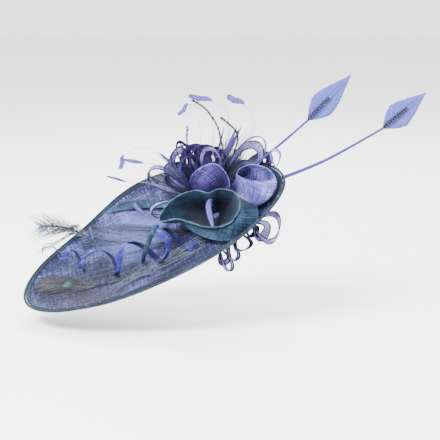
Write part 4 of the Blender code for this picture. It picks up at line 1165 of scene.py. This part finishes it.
def under_brim(rows):
    """The rows, lowered where needed to hang clear of the brim."""
    clear = WALL + GAP + LOOP_CLEAR
    return [[Vector((p.x, p.y, min(p.z, dish(p.x, p.y) - clear))) for p in row] for row in rows]


def loop_rows(start, tip, opening, width, turned, flat=0.0):
    """A ribbon that leaves start gathered, opens and comes back over its tip.

    The flatter it is, the more its width lies outwards in the loop's own plane.
    """
    length = (tip - start).length
    run = (tip - start).normalized()
    side = run.cross(FRONT).normalized()
    face = side.cross(run).normalized()
    angle = math.radians(turned)
    wide = face * math.cos(angle) - side * math.sin(angle)
    spread = (side + face * math.tan(angle)) * opening * LOOP_FULL
    rows = []
    for index in range(LOOP_STEPS):
        turn = math.tau * index / LOOP_STEPS
        out = (1 - math.cos(turn)) / 2
        bowed = math.sin(turn) * (LOOP_NECK + (1 - LOOP_NECK) * out)
        point = start + run * length * out + spread * bowed
        outwards = (point - start - run * length * 0.5).normalized()
        across = (wide * (1 - flat) + outwards * flat).normalized()
        half = across * width * (LOOP_GATHER + (1 - LOOP_GATHER) * out) / 2
        rows.append([point + half * (k / 3 - 1) for k in range(7)])
    return rows


def loop(name, rows, width, finish, edge_finish, rests_on, stands_for=True):
    """A loop's ribbon with its rolled edges, and what it is cut from."""
    sizes = bpy.context.scene.hat_sizes
    nodes = [name] if stands_for else []
    obj = cloth(name + "_ribbon", Shape().grid(rows, True), material(finish), nodes, 0.0006)
    edges = Shape()
    for at in (0, -1):
        edges.tube([row[at] for row in rows], [sizes.loop_edge] * len(rows), 6, closed=True)
    edge = piece(name + "_edges", edges, material(edge_finish))
    cut, steps = max(0.010, width), list(zip(rows, rows[1:] + rows[:1]))
    cloth_area = sum((b[0] - a[-1]).cross(b[-1] - a[0]).length / 2 for a, b in steps)


def make_loops():
    """The loops and fine curls on the pad, under the brim and at the far rim."""
    for name, along, across, up, opening, width, turned, finish, edge in PAD_LOOPS:
        tip = place(along, across, up)
        rows = loop_rows(from_pad(tip), tip, opening, width, turned)
        rows = [[outside_pad(p, LOOP_CLEAR) for p in row] for row in rows]
        loop(name, rows, width, finish, edge, "plume")
    for name, along, across, tip_along, tip_across, up, opening, width, turned, *looks in BRIM_LOOPS:
        start = place(along, across, 0) - Vector((0, 0, WALL + GAP))
        rows = loop_rows(start, place(tip_along, tip_across, up), opening, width, turned)
        loop(name, under_brim(rows), width, *looks, "saucer")
    for name, x, y, across, opening, width, turned, finish, edge in CURLS:
        tip = seen(x, y, across)
        rows = loop_rows(from_pad(tip), tip, opening, width, turned, CURL_FLAT)
        rows = [[outside_pad(p, LOOP_CLEAR) for p in row] for row in rows]
        loop(name, rows, width, finish, edge, "plume", False)
    for name, x, y, tip_x, tip_y, near, far, opening, width, turned, *looks in BRIM_CURLS:
        start, tip = seen(x, y, near), seen(tip_x, tip_y, far)
        start.z = dish(start.x, start.y) - WALL - GAP
        rows = loop_rows(start, tip, opening, width, turned, CURL_FLAT)
        loop(name, under_brim(rows), width, *looks, "saucer", False)
    name, degrees, along, across, up, opening, width, turned, *looks = FAR_LOOP
    start = rim_point(math.radians(degrees)) + Vector((0, 0, RIM_WIRE + 0.001))
    rows = loop_rows(start, place(along, across, up), opening, width, turned)
    loop(name, rows, width, *looks, "rim_wire")


def comb_vane(shape, axis, halves, spacing, slant, radius, jitter, seed, front=FRONT, kind=0):
    """Barbs on both sides of a shaft, which end on the outline that halves gives."""
    rng = random.Random(seed)
    length = sum((b - a).length for a, b in zip(axis, axis[1:]))
    count = max(4, int(length / spacing))
    runs = tangents(axis)
    for side_sign in (-1, 1):
        for index in range(count):
            share = (index + 0.5) / count
            at = share * (len(axis) - 1)
            first = min(int(at), len(axis) - 2)
            part = at - first
            root = axis[first].lerp(axis[first + 1], part)
            run = runs[first].lerp(runs[first + 1], part).normalized()
            half = halves(share) * (1 + rng.uniform(-jitter, jitter))
            if half < radius * 2:
                continue
            side = run.cross(front).normalized() * side_sign
            face = side.cross(run).normalized() * side_sign
            lean = math.radians(slant) * (1 + rng.uniform(-jitter, jitter) / 2)
            reach = half / math.sin(lean)
            points = []
            for k in range(5):
                s = k / 4
                points.append(
                    root
                    + side * math.sin(lean) * reach * s
                    + run * math.cos(lean) * reach * (s + 0.12 * s * s)
                    - face * reach * 0.05 * s * s
                )
            radii = [radius * (1 - 0.55 * k / 4) for k in range(5)]
            shape.tube(points, radii, 3, 1.6, kind=kind, front=front)
    return shape


VANE_WIDTH = 0.042
VANE_CLEAR = 0.0007
QUILL_ROOT_RADIUS = 0.0022
QUILL_TIP_RADIUS = 0.0012
# The thread and barbs wound round a stem make it that much thicker.
WOUND = 1.5
UPPER_QUILL = ((0.70, 0.29, 0.34), (0.89, 0.30, 0.52), (1.10, 0.30, 0.66), (1.33, 0.30, 1.02))
UPPER_TIP = (1.74, 0.30, 1.90)
LOWER_QUILL = ((0.99, 0.05, -0.10), (1.34, -0.06, 0.00), (1.78, -0.15, 0.34))
LOWER_TIP = (2.15, -0.19, 0.95)
VANE_SHAPE = (
    # share of length, share of width
    (0.00, 0.08),
    (0.06, 0.30),
    (0.16, 0.66),
    (0.26, 0.92),
    (0.36, 1.00),
    (0.50, 0.86),
    (0.65, 0.62),
    (0.80, 0.36),
    (0.92, 0.14),
    (1.00, 0.03),
)
VANE_SLANT = 38
VANE_BARB = 0.0005
WEB_SHARE = 0.93
WEB_THICK = 0.0003
RACHIS_RADIUS = 0.0011
BEAD_RADIUS = 0.0025


def table_value(table, share):
    """The second column of a table at a share of its first."""
    for (a, low), (b, high) in zip(table, table[1:]):
        if share <= b:
            return low + (high - low) * (share - a) / (b - a)
    return table[-1][1]


def vane_half(share):
    """Half the width of an arrow's vane there."""
    return VANE_WIDTH / 2 * table_value(VANE_SHAPE, share)


def make_arrow(name, base, tip, seed):
    """A trimmed vane: a thin web under close barbs, and its pale shaft."""
    sizes = bpy.context.scene.hat_sizes
    run = (tip - base).normalized()
    front = run.cross(FRONT).normalized().cross(run) * -1
    axis = [base.lerp(tip, k / 24) for k in range(25)]
    slant = math.radians(VANE_SLANT)
    length = (tip - base).length

    def barb_half(share):
        """Half the vane's width where the barb that leaves there ends."""
        half = 0.0
        for k in range(60):
            reach = VANE_WIDTH / 2 * k / 60
            ends_at = share + reach / math.tan(slant) * 1.1 / length
            if ends_at <= 1 and vane_half(ends_at) >= reach:
                half = reach
        return half

    shape = comb_vane(Shape(), axis, barb_half, sizes.barb_spacing, VANE_SLANT, VANE_BARB, 0.03, seed)
    web = []
    for k in range(41):
        s = k / 40
        row = base.lerp(tip, 0.02 + 0.96 * s)
        side = run.cross(FRONT).normalized() * max(0.0006, vane_half(0.02 + 0.96 * s) * WEB_SHARE)
        web.append([row + side * (j / 4 - 1) for j in range(9)])
    thin = Shape().grid(web)
    cloth(f"{name}_web", thin, material("vane"), thick=WEB_THICK)
    shaft = [base.lerp(tip, k / 20) - front * 0.0002 for k in range(21)]
    shape.tube(shaft, [RACHIS_RADIUS * (1 - 0.8 * k / 20) for k in range(21)], 8, kind=1)
    piece(f"{name}_barbs", shape, [material("vane"), material("rachis")], [f"{name}_arrow"])
    bead_line = [base + run * (0.0022 + sizes.bead_pitch * 10 * k / 20) for k in range(21)]
    out = run.cross(FRONT).normalized().cross(run).normalized()
    bead_line = [p + out * (0.0006 + BEAD_RADIUS) for p in bead_line]
    rings = [Vector((0, 0, s * 0.0022)) for s in (-1, -0.62, 0, 0.62, 1)]
    radii = [0.0009, 0.0022, BEAD_RADIUS, 0.0022, 0.0009]
    unit = unit_object("cut_bead", Shape().tube(rings, radii, 8, front=Vector((0, 1, 0))))
    for polygon in unit.data.polygons:
        polygon.use_smooth = False
    obj = set_along(f"{name}_bead_row", bead_line, False, unit, "bead", sizes.bead_pitch, 1.0)
    settle(obj, [f"{name}_beads"])


def make_quills():
    """The two wound stems, each with its arrow."""
    upper, low = [place(*share) for share in UPPER_QUILL], [place(*share) for share in LOWER_QUILL]
    for name, stops, tip, seed in (
        ("upper", [from_pad(upper[0])] + upper, place(*UPPER_TIP), 11),
        ("lower", low, place(*LOWER_TIP), 12),
    ):
        points = [Vector(p) for p in through(stops, 80)]
        thinner = QUILL_ROOT_RADIUS - QUILL_TIP_RADIUS
        radii = [(QUILL_ROOT_RADIUS - thinner * k / 79) * WOUND for k in range(80)]
        piece(f"{name}_wound_stem", Shape().tube(points, radii, 10), material("shaft"),
              [f"{name}_quill"])
        base = stops[-1] + (tip - stops[-1]).normalized() * VANE_CLEAR
        make_arrow(name, base, tip, seed)


CURL = (
    # along, across, up, radius, width
    (-0.74, 0.46, 0.73, 0.011, 0.0015),
    (-0.75, 0.51, 0.60, 0.010, 0.0025),
    (-0.74, 0.46, 0.60, 0.009, 0.0035),
    (-0.66, 0.34, 0.61, 0.011, 0.005),
    (-0.63, 0.31, 0.48, 0.013, 0.006),
    (-0.53, 0.16, 0.46, 0.016, 0.007),
    (-0.43, 0.01, 0.46, 0.018, 0.007),
    (-0.31, -0.15, 0.54, 0.023, 0.009),
    (-0.19, -0.18, 0.54, 0.022, 0.010),
    (0.00, -0.26, 0.58, 0.024, 0.011),
    (0.07, -0.20, 0.56, 0.022, 0.011),
    (0.23, -0.31, 0.19, 0.010, 0.010),
    (0.27, -0.41, 0.11, 0.006, 0.008),
)
CURL_STEPS = 420
CURL_THICK = 0.0009


def make_curl():
    """The flat quill curled into a spring: bright outside and dark inside."""
    curve = through(CURL, CURL_STEPS)
    centres = [place(*row[:3]) for row in curve]
    sides = ([], [])
    for index, (row, run) in enumerate(zip(curve, tangents(centres))):
        turn = math.pi * (len(CURL) - 1) * index / (CURL_STEPS - 1)
        upward = FRONT.cross(run).normalized()
        toward = run.cross(upward).normalized()
        out = upward * math.cos(turn) - toward * math.sin(turn)
        for rows, deep in zip(sides, (0.5, -0.5)):
            centre = centres[index] + out * (row[3] + CURL_THICK * deep)
            line = [centre + run * row[4] * (k / 4 - 1) / 2 for k in range(9)]
            bowed = [p - out * 0.06 * row[4] * (k / 4 - 1) ** 2 for k, p in enumerate(line)]
            rows.append([above_dish(p, GAP + CURL_THICK * (0.5 + deep)) for p in bowed])
    shape = Shape()
    outer, inner = sides
    shape.grid(outer)
    shape.grid([list(reversed(row)) for row in inner], kind=1)
    wide, base, count = 9, len(outer) * 9, CURL_STEPS
    for at, other in ((0, 8), (8, 0)):
        for i in range(count - 1):
            quad = [i * wide + at, base + i * wide + other, base + (i + 1) * wide + other]
            quad.append((i + 1) * wide + at)
            shape.face(quad if at else quad[::-1])
    for i in (0, count - 1):
        ring = [i * wide + k for k in range(9)] + [base + i * wide + k for k in range(9)]
        shape.face(ring if i else ring[::-1])
    finishes = [material("quill_outer"), material("quill_inner")]
    piece("curled_quill_vane", shape, finishes, ["curled_quill"])


COQUE = (
    # name, stem along, across, up, near along, across, up, far along, across, up, width
    ("coque_top", 0.84, 0.24, 2.60, 0.80, 0.22, 3.50, 0.67, 0.22, 4.10, 0.009),
    ("coque_left_top", 0.74, 0.20, 3.00, 0.65, 0.15, 3.95, 0.55, 0.11, 3.90, 0.0065),
    ("coque_right", 0.96, 0.40, 1.40, 0.98, 0.37, 2.40, 0.90, 0.37, 3.00, 0.010),
    ("coque_upper_left", 0.23, 0.60, 2.25, 0.07, 0.45, 2.80, 0.00, 0.41, 2.50, 0.008),
    ("coque_middle_left", 0.28, 0.49, 1.62, 0.16, 0.56, 1.95, 0.04, 0.60, 2.30, 0.0064),
    ("coque_lower_left", 0.15, 0.42, 1.44, 0.00, 0.46, 1.81, -0.11, 0.39, 2.51, 0.004),
)
SPINES = (
    # name, points of along, across, up
    ("long_spine", ((0.68, 0.20, 1.50), (0.73, 0.22, 2.15), (0.75, 0.19, 2.80), (0.73, 0.13, 3.60),
                    (0.68, 0.11, 4.10))),
    ("short_spine", ((0.76, 0.46, 0.95), (0.84, 0.44, 1.50), (0.82, 0.43, 2.05), (0.79, 0.45, 2.35))),
    ("bare_stem", ((0.42, 0.40, 0.76), (0.44, 0.42, 1.49), (0.50, 0.42, 2.24), (0.55, 0.43, 2.74))),
)
SPINE_RADIUS = 0.0009
COQUE_SHAPE = ((0.0, 0.05), (0.12, 0.7), (0.35, 1.0), (0.6, 0.9), (0.85, 0.55), (1.0, 0.15))


def make_coque():
    """The small feathers: stem, leaf and barbs."""
    for seed, (name, *numbers, width) in enumerate(COQUE):
        stem, near, far = (place(*numbers[k : k + 3]) for k in (0, 3, 6))
        stops = [from_pad(stem), stem, near, near.lerp(far, 0.55), far]
        points = [Vector(p) for p in through(stops, 61)]
        shape = Shape().tube(points, [0.00045 - 0.0003 * k / 60 for k in range(61)], 5, kind=1)
        axis = points[30:]
        leaf = [width / 16 * table_value(COQUE_SHAPE, k / 30) for k in range(31)]
        shape.tube(axis, leaf, 10, 8.0)
        vane = (lambda s: width / 2 * table_value(COQUE_SHAPE, s), 0.00055, 34, 0.0003, 0.06)
        comb_vane(shape, axis, *vane, 100 + seed)
        piece(name + "_feather", shape, [material("coque"), material("rachis")], [name])


def make_spines():
    """The stripped spines, with the stubs of their barbs."""
    for seed, (name, shares) in enumerate(SPINES):
        stops = [place(*share) for share in shares]
        points = [Vector(p) for p in through([from_pad(stops[0])] + stops, 90)]
        rng = random.Random(300 + seed)
        radii = [SPINE_RADIUS * (1.5 + 0.45 * math.sin(k * 1.1) - 0.4 * k / 89) for k in range(90)]
        piece(name + "_shaft", Shape().tube(points, radii, 6), material("spine"), [name])
        spots = []
        for index, (point, run) in enumerate(zip(points, tangents(points))):
            for _ in range(6):
                way = run + Vector([rng.uniform(-1, 1) for _ in range(3)]) * 1.6
                spots.append((point, way.normalized(), 0.0036 + 0.0014 * rng.random()))
        unit = strand_unit("prickle", 0.2, 0.13, 3, 3)
        settle(set_on_points(name + "_stubs", spots, unit, "spine", 0.3, 20 + seed))


EYE_STEM = ((-0.11, -0.48, 0.03), (-0.31, -0.35, 0.03), (-0.49, -0.24, 0.03), (-0.57, -0.16, 0.03))
EYE_HEAD = ((-0.49, -0.24, 0.03), (-0.57, -0.16, 0.03), (-0.66, -0.05, 0.04), (-0.76, 0.07, 0.05),
            (-0.88, 0.20, 0.05))
GREY_STEM = ((0.20, -0.06, 0.024), (-0.03, 0.08, 0.024), (-0.20, 0.32, 0.024), (-0.35, 0.52, 0.04),
             (-0.48, 0.70, 0.18))
GREY_HEAD = ((-0.48, 0.70, 0.18), (-0.57, 0.78, 0.52), (-0.66, 0.81, 0.76), (-0.75, 0.82, 0.96))
DISH_FEATHER = ((-0.01, 0.58, 0.02), (-0.03, 0.64, 0.10), (-0.05, 0.69, 0.20), (-0.06, 0.74, 0.26))
EYE_CENTRE = (-0.70, 0.0, 0.04)
EYE_REACH = 0.026
# How wide a feather is there, as a share of its width.
HERL_SHAPE = ((0.0, 0.3), (0.2, 0.75), (0.5, 1.0), (0.75, 0.9), (1.0, 0.3))


def eye_herl():
    """Peacock eye: bronze herl round rings of green and teal with a dark violet heart."""
    places = (0.0, 0.25, 0.50, 0.70, 0.86)
    rings = tuple(zip(places, ("#2c2a36", "#2c2422", "#15111a", "#10202a", "#2a6a68")))
    bands = (worn(place(*EYE_CENTRE)), EYE_REACH, rings)
    return barbed("peacock_herl_eye", ("#12131e", "#2c2a36", "#4e484a"), 0.4, 0.6, bands=bands)


FINISHES["herl_eye"] = (eye_herl,)


def dish_up(point):
    """The direction square to the dish there."""
    step = 0.001
    here = dish(point.x, point.y)
    slope_x = (dish(point.x + step, point.y) - here) / step
    slope_y = (dish(point.x, point.y + step) - here) / step
    return Vector((-slope_x, -slope_y, 1)).normalized()


def lay_feather(node, part, shape, axis, vane, shaft, rise, finishes, slot, front=FRONT):
    """A feather over the dish: barbs on both sides of a shaft of that radius and number of sides."""
    comb_vane(shape, axis, *vane, front)
    shape.tube(axis, [shaft[0]] * len(axis), shaft[1], kind=1)
    shape.points = [above_dish(p, GAP + rise) for p in shape.points]
    piece(f"{node}_{part}", shape, [material(name) for name in finishes], [node])


def make_feathers():
    """Peacock feathers that lie in and over the dish, with loose herl along their stems."""
    up = dish_up(place(-0.66, -0.05, 0))
    stem = Shape().tube(path(EYE_STEM, 60), [0.0009 - 0.0004 * k / 59 for k in range(60)], 6, kind=1)
    vane = (lambda s: 0.021 * table_value(HERL_SHAPE, s), 0.0007, 34, 0.0004, 0.25, 41)
    looks = (("herl_eye", "spine"), "peacock", up)
    lay_feather("eye_feather", "herl", stem, path(EYE_HEAD, 60), vane, (0.0006, 6), 0.0004, *looks)
    stem = Shape().tube(path(GREY_STEM, 70), [0.0008 - 0.0003 * k / 69 for k in range(70)], 6, kind=1)
    vane = (lambda s: 0.016 * table_value(HERL_SHAPE, s), 0.0008, 36, 0.0003, 0.4, 42)
    looks = (("herl_grey", "spine"), "peacock")
    lay_feather("grey_feather", "herl", stem, path(GREY_HEAD, 50), vane, (0.0005, 5), 0.0004, *looks)
    vane = (lambda s: 0.0036 * table_value(HERL_SHAPE, s), 0.0005, 30, 0.0003, 0.1, 43)
    looks = (("coque", "rachis"), "arrow_vane")
    axis = path(DISH_FEATHER, 30)
    lay_feather("dish_feather", "barbs", Shape(), axis, vane, (0.0004, 5), 0.0003, *looks)
    rng = random.Random(7)
    spots = []
    for stops, count, long in (
        (GREY_STEM[2:], 60, 0.030), (GREY_HEAD, 90, 0.036), (EYE_STEM[2:], 30, 0.022),
    ):
        line = path(stops, 40)
        for _ in range(count):
            k = rng.randrange(1, 39)
            run = (line[k + 1] - line[k - 1]).normalized()
            side = run.cross(FRONT).normalized() * rng.choice((-1, 1))
            way = run * rng.uniform(0.6, 1.4) + side * rng.uniform(0.4, 1.0)
            way += Vector((0, 0, rng.uniform(0.2, 0.5)))
            spots.append((above_dish(line[k], 0.001), way.normalized(), long))
    unit = strand_unit("loose_herl", 0.18, 0.007, 3, 7)
    settle(set_on_points("loose_herls", spots, unit, "herl_grey", 0.5, 5))


BALL_AROUND = 48
BALL_DOWN = 25
PLUME = (
    # tip along, across, up, width
    (0.78, 0.52, 1.84, 0.005),
    (0.70, 0.36, 1.68, 0.006),
    (0.44, 0.72, 1.72, 0.006),
    (0.86, 0.50, 1.54, 0.008),
    (0.88, 0.81, 0.92, 0.008),
    (0.88, 0.34, 1.34, 0.006),
    (0.27, 0.76, 1.60, 0.008),
    (0.60, 0.48, 1.75, 0.006),
)
# Sprays of hackle: where the middle strand points, how wide they fan, how many and how long.
SPRAYS = (
    # tip along, across, up, fan, count, length, finish
    (0.84, 0.60, 1.10, 0.30, 260, 0.078, "hackle"),
    (0.70, 0.50, 1.60, 0.28, 200, 0.080, "biot"),
    (0.40, 0.70, 1.60, 0.34, 220, 0.072, "hackle"),
    (0.20, 0.80, 1.20, 0.30, 160, 0.080, "herl"),
    (0.62, 0.40, 1.90, 0.26, 140, 0.078, "biot_magenta"),
    (0.95, 0.55, 2.20, 0.20, 60, 0.125, "herl"),
    (0.10, 0.90, 1.20, 0.16, 40, 0.120, "herl_grey"),
)


def make_plume():
    """The padded ball, the biots bound into it and the sprays of hackle about them."""
    rows = []
    for i in range(BALL_AROUND):
        turn = math.tau * i / BALL_AROUND
        row = []
        for k in range(BALL_DOWN):
            tilt = math.pi * (0.004 + 0.992 * k / (BALL_DOWN - 1))
            way = Vector((math.sin(tilt) * math.cos(turn), math.sin(tilt) * math.sin(turn), math.cos(tilt)))
            lumpy = 1 - 0.03 * (0.5 + 0.5 * noise.noise(way * 4))
            row.append(above_dish(PAD + way * PAD_RADIUS * lumpy, GAP))
        rows.append(row)
    ball = Shape().grid(rows, True)
    around = range(BALL_AROUND)
    for column, order in ((0, around), (BALL_DOWN - 1, reversed(around))):
        ball.face([i * BALL_DOWN + column for i in order])
    obj = piece("padded_ball", ball, material("padding"), ["plume"])
    biots = Shape()
    for index, (along, across, up, width) in enumerate(PLUME):
        tip = place(along, across, up)
        arch = Vector((0, 0, 0.05)) * (tip - PAD).length
        stops = [from_pad(PAD.lerp(tip, 0.3)), PAD.lerp(tip, 0.55) + arch, tip]
        points = [Vector(p) for p in through(stops, 30)]
        shape = (0.6, 0.8, 1.0, 0.95, 0.7, 0.12)
        widths = [max(width * row[0] / 2, 0.0003) for row in through([(s,) for s in shape], 30)]
        biots.tube(points, [w * 0.22 for w in widths], 6, 4.5, kind=index % 2)
    piece("biots", biots, [material("biot"), material("biot_magenta")])
    for seed, (along, across, up, fan, count, length, finish) in enumerate(SPRAYS):
        rng = random.Random(60 + seed)
        middle = (place(along, across, up) - PAD).normalized()
        spots = []
        for _ in range(count):
            way = (middle + Vector([rng.gauss(0, fan) for _ in range(3)])).normalized()
            spots.append((PAD + way * (PAD_RADIUS - 0.001), way, length))
        unit = strand_unit("hackle", 0.16, 0.0075, 3, 7)
        obj = set_on_points(f"spray_{seed}", spots, unit, finish, 0.45, 70 + seed)
        settle(obj)


WISPS = (
    # left pixels, right pixels, spread at the left and right, strands, seed, finish
    (28, 296, 150, 264, 15, 5, 34, 61, "herl"),
    (34, 276, 168, 246, 10, 8, 18, 62, "herl"),
    (62, 252, 176, 226, 12, 10, 9, 63, "herl"),
    (84, 214, 190, 214, 8, 5, 6, 64, "herl_grey"),
    (66, 226, 190, 233, 2, 3, 26, 66, "herl"),
    (70, 226, 150, 243, 3, 6, 12, 67, "herl_grey"),
    (110, 288, 206, 238, 8, 9, 26, 65, "herl_grey"),
)
FANS = (
    # root pixels, tip pixels, share across, spread in pixels, strands, bend, seed, finish
    (236, 184, 255, 152, 0.30, 11, 170, 0.20, 71, "hackle"),
    (232, 182, 239, 148, 0.34, 7, 80, 0.10, 72, "biot"),
    (226, 178, 227, 147, 0.36, 5, 60, 0.05, 73, "herl"),
    (221, 178, 221, 152, 0.34, 7, 60, 0.05, 74, "biot_magenta"),
    (184, 178, 164, 160, 0.28, 11, 130, 0.20, 75, "hackle"),
    (206, 174, 204, 152, 0.36, 14, 90, 0.10, 76, "biot"),
    (234, 176, 244, 120, 0.42, 22, 60, 0.15, 77, "herl"),
)
STRAND_RADIUS = 0.0035
LEFT_FANS = (
    # as the fans, by the head of the grey feather
    (74, 227, 26, 234, 0.72, 9, 44, 0.25, 78, "herl"),
    (70, 232, 30, 252, 0.66, 9, 30, 0.25, 79, "herl_grey"),
)


def make_wisps():
    """Loose herl that lies over the dish, and fans of hackle and biots by the pad."""
    for x, y, far_x, far_y, wide, narrow, count, seed, finish in WISPS:
        rng = random.Random(seed)
        shape = Shape()
        for _ in range(count):
            low, high = rng.uniform(-1, 1) * wide, rng.uniform(-1, 1) * narrow
            bow = rng.uniform(-1, 1) * 5
            rise = rng.uniform(0.001, 0.006)
            line = []
            for k in range(13):
                share = k / 12
                down = (y + low) * (1 - share) + (far_y + high) * share + bow * math.sin(math.pi * share)
                point = dish_seen(x * (1 - share) + far_x * share, down, rise)
                line += [point] if point else []
            if len(line) > 4:
                radii = [0.00022 * (0.3 + 0.7 * blend(min(k, 3) / 3)) for k in range(len(line))]
                shape.tube(line, radii, 3)
        piece(f"dish_wisps_{seed - 60}", shape, material(finish))
    for x, y, tip_x, tip_y, across, spread, count, bend, seed, finish in FANS + LEFT_FANS:
        rng = random.Random(seed)
        spots = []
        for _ in range(count):
            root = outside_pad(seen(x + rng.uniform(-3, 3), y + rng.uniform(-3, 3), across), 0.0)
            off = rng.gauss(0, 0.5) * spread
            tip = seen(tip_x + off, tip_y + abs(off) * 0.3 + rng.uniform(0, 8),
                       across + rng.uniform(-0.15, 0.15))
            spots.append((root, (tip - root).normalized(), (tip - root).length))
        unit = strand_unit(f"fan_strand_{seed - 70}", bend, STRAND_RADIUS)
        settle(set_on_points(f"fan_{seed - 70}", spots, unit, finish, 0.3, seed))


FLOOR_DROP = 0.150
FLOOR_REACH = 6.0
PICTURE = 440
DISTANCE = 3.0
SENSOR = 36.0
SKY = 2.5


def make_stage():
    """Pale floor, soft studio light and the camera at the photograph's angle."""
    scene = bpy.context.scene
    right, up = Vector((1, 0, 0)), Vector((0, math.sin(ELEVATION), math.cos(ELEVATION)))
    target = SAUCER_MIDDLE + right * (PICTURE / 2 - SAUCER_PIXEL[0]) * METRE_PER_PIXEL
    target += up * (SAUCER_PIXEL[1] - PICTURE / 2) * METRE_PER_PIXEL
    camera = linked("camera", bpy.data.cameras.new("camera"))
    camera.location = target + Vector((0, -math.cos(ELEVATION), math.sin(ELEVATION))) * DISTANCE
    camera.rotation_euler = (math.pi / 2 - ELEVATION, 0, 0)
    camera.data.sensor_width = SENSOR
    camera.data.lens = SENSOR * DISTANCE / (PICTURE * METRE_PER_PIXEL)
    camera.data.clip_end = 50
    scene.camera = camera
    mesh = bpy.data.meshes.new("floor")
    corners = [(x * FLOOR_REACH, y * FLOOR_REACH) for x, y in ((-1, -1), (1, -1), (1, 1), (-1, 1))]
    mesh.from_pydata([(x, y, -FLOOR_DROP) for x, y in corners], [], [(0, 1, 2, 3)])
    finish, tree, shader, spots = blank("matt_paper_floor", 0.9, Specular_IOR_Level=0.1)
    grain = {"Vector": spots["Object"], "Scale": 4.0, "Detail": 2.0}
    dyes = [(*[c * share for c in scene.hat_colours.floor], 1) for share in (1, 0.98)]
    mottled = {0: add(tree, "ShaderNodeTexNoise", grain), 6: dyes[0], 7: dyes[1]}
    pale = add(tree, "ShaderNodeMix", mottled, 2, data_type="RGBA")
    tree.links.new(pale, shader.inputs["Base Color"])
    mesh.materials.append(finish)
    linked("floor", mesh)
    for name, where, size, power in (
        ("key_light", (-1.1, -1.6, 1.7), 1.0, 250),
        ("fill_light", (1.7, -1.3, 0.9), 1.6, 30),
        ("back_light", (0.3, 1.5, 1.8), 1.6, 110),
    ):
        lamp = bpy.data.lights.new(name, "AREA")
        lamp.size = size
        lamp.energy = power
        obj = linked(name, lamp)
        obj.location = where
        obj.rotation_euler = (-Vector(where)).to_track_quat("-Z", "Y").to_euler()
    world = bpy.data.worlds.new("studio")
    world.use_nodes = True
    sky = world.node_tree.nodes["Background"].inputs
    sky["Color"].default_value = (1, 1, 1, 1)
    sky["Strength"].default_value = SKY
    scene.world = world


def operator(key, label, words, work):
    """An operator class that runs one maker."""

    def execute(self, context):
        work()
        return {"FINISHED"}

    members = {
        "__doc__": words,
        "bl_idname": f"hat.{key}",
        "bl_label": label,
        "bl_options": {"REGISTER", "UNDO"},
        "execute": execute,
    }
    return type(f"HAT_OT_{key}", (bpy.types.Operator,), members)


OPERATORS = (
    operator("stage", "Stage", "Floor, lights and camera", make_stage),
    operator("saucer", "Saucer", "Blocked saucer of open weave", make_saucer),
    operator("rim", "Rim", "Bound rim and its stitches", make_rim),
    operator("comb", "Comb", "Comb under the saucer", make_comb),
    operator("horn", "Horn", "Rolled horn", make_horn),
    operator("wrap", "Wrap", "Fold of cloth under the horn", make_wrap),
    operator("petals", "Petals", "Upright petal and cup petal", make_petals),
    operator("strips", "Strips", "Tail, leaf and throat ribbon", make_strips),
    operator("loops", "Loops", "Ribbon loops on the pad and under the brim", make_loops),
    operator("quills", "Quills", "Wound quills with arrow vanes and beads", make_quills),
    operator("curl", "Curled quill", "Flat quill curled into a spring", make_curl),
    operator("coque", "Coque feathers", "Small feathers on bare stems", make_coque),
    operator("spines", "Spines", "Stripped spines", make_spines),
    operator("feathers", "Peacock feathers", "Peacock feathers in and over the dish", make_feathers),
    operator("plume", "Plume", "Pad, biots and sprays of hackle", make_plume),
    operator("wisps", "Wisps", "Loose herl over the dish and fans by the pad", make_wisps),
)


class HAT_PT_panel(bpy.types.Panel):
    """Sizes, colours and pieces of the hat."""

    bl_label = "Saucer fascinator"
    bl_idname = "HAT_PT_panel"
    bl_space_type = "VIEW_3D"
    bl_region_type = "UI"
    bl_category = "Hat"

    def draw(self, context):
        for group in (context.scene.hat_sizes, context.scene.hat_colours):
            for prop in group.bl_rna.properties:
                if prop.identifier not in ("rna_type", "name"):
                    self.layout.prop(group, prop.identifier)
        for made in OPERATORS:
            self.layout.operator(made.bl_idname)


CLASSES = (HatSizes, HatColours, *OPERATORS, HAT_PT_panel)


def register():
    for cls in CLASSES:
        bpy.utils.register_class(cls)
    bpy.types.Scene.hat_sizes = bpy.props.PointerProperty(type=HatSizes)
    bpy.types.Scene.hat_colours = bpy.props.PointerProperty(type=HatColours)


def unregister():
    del bpy.types.Scene.hat_colours
    del bpy.types.Scene.hat_sizes
    for cls in reversed(CLASSES):
        bpy.utils.unregister_class(cls)


def main():
    register()
    for made in OPERATORS:
        getattr(bpy.ops.hat, made.bl_idname.split(".")[1])()


if __name__ == "__main__":
    main()
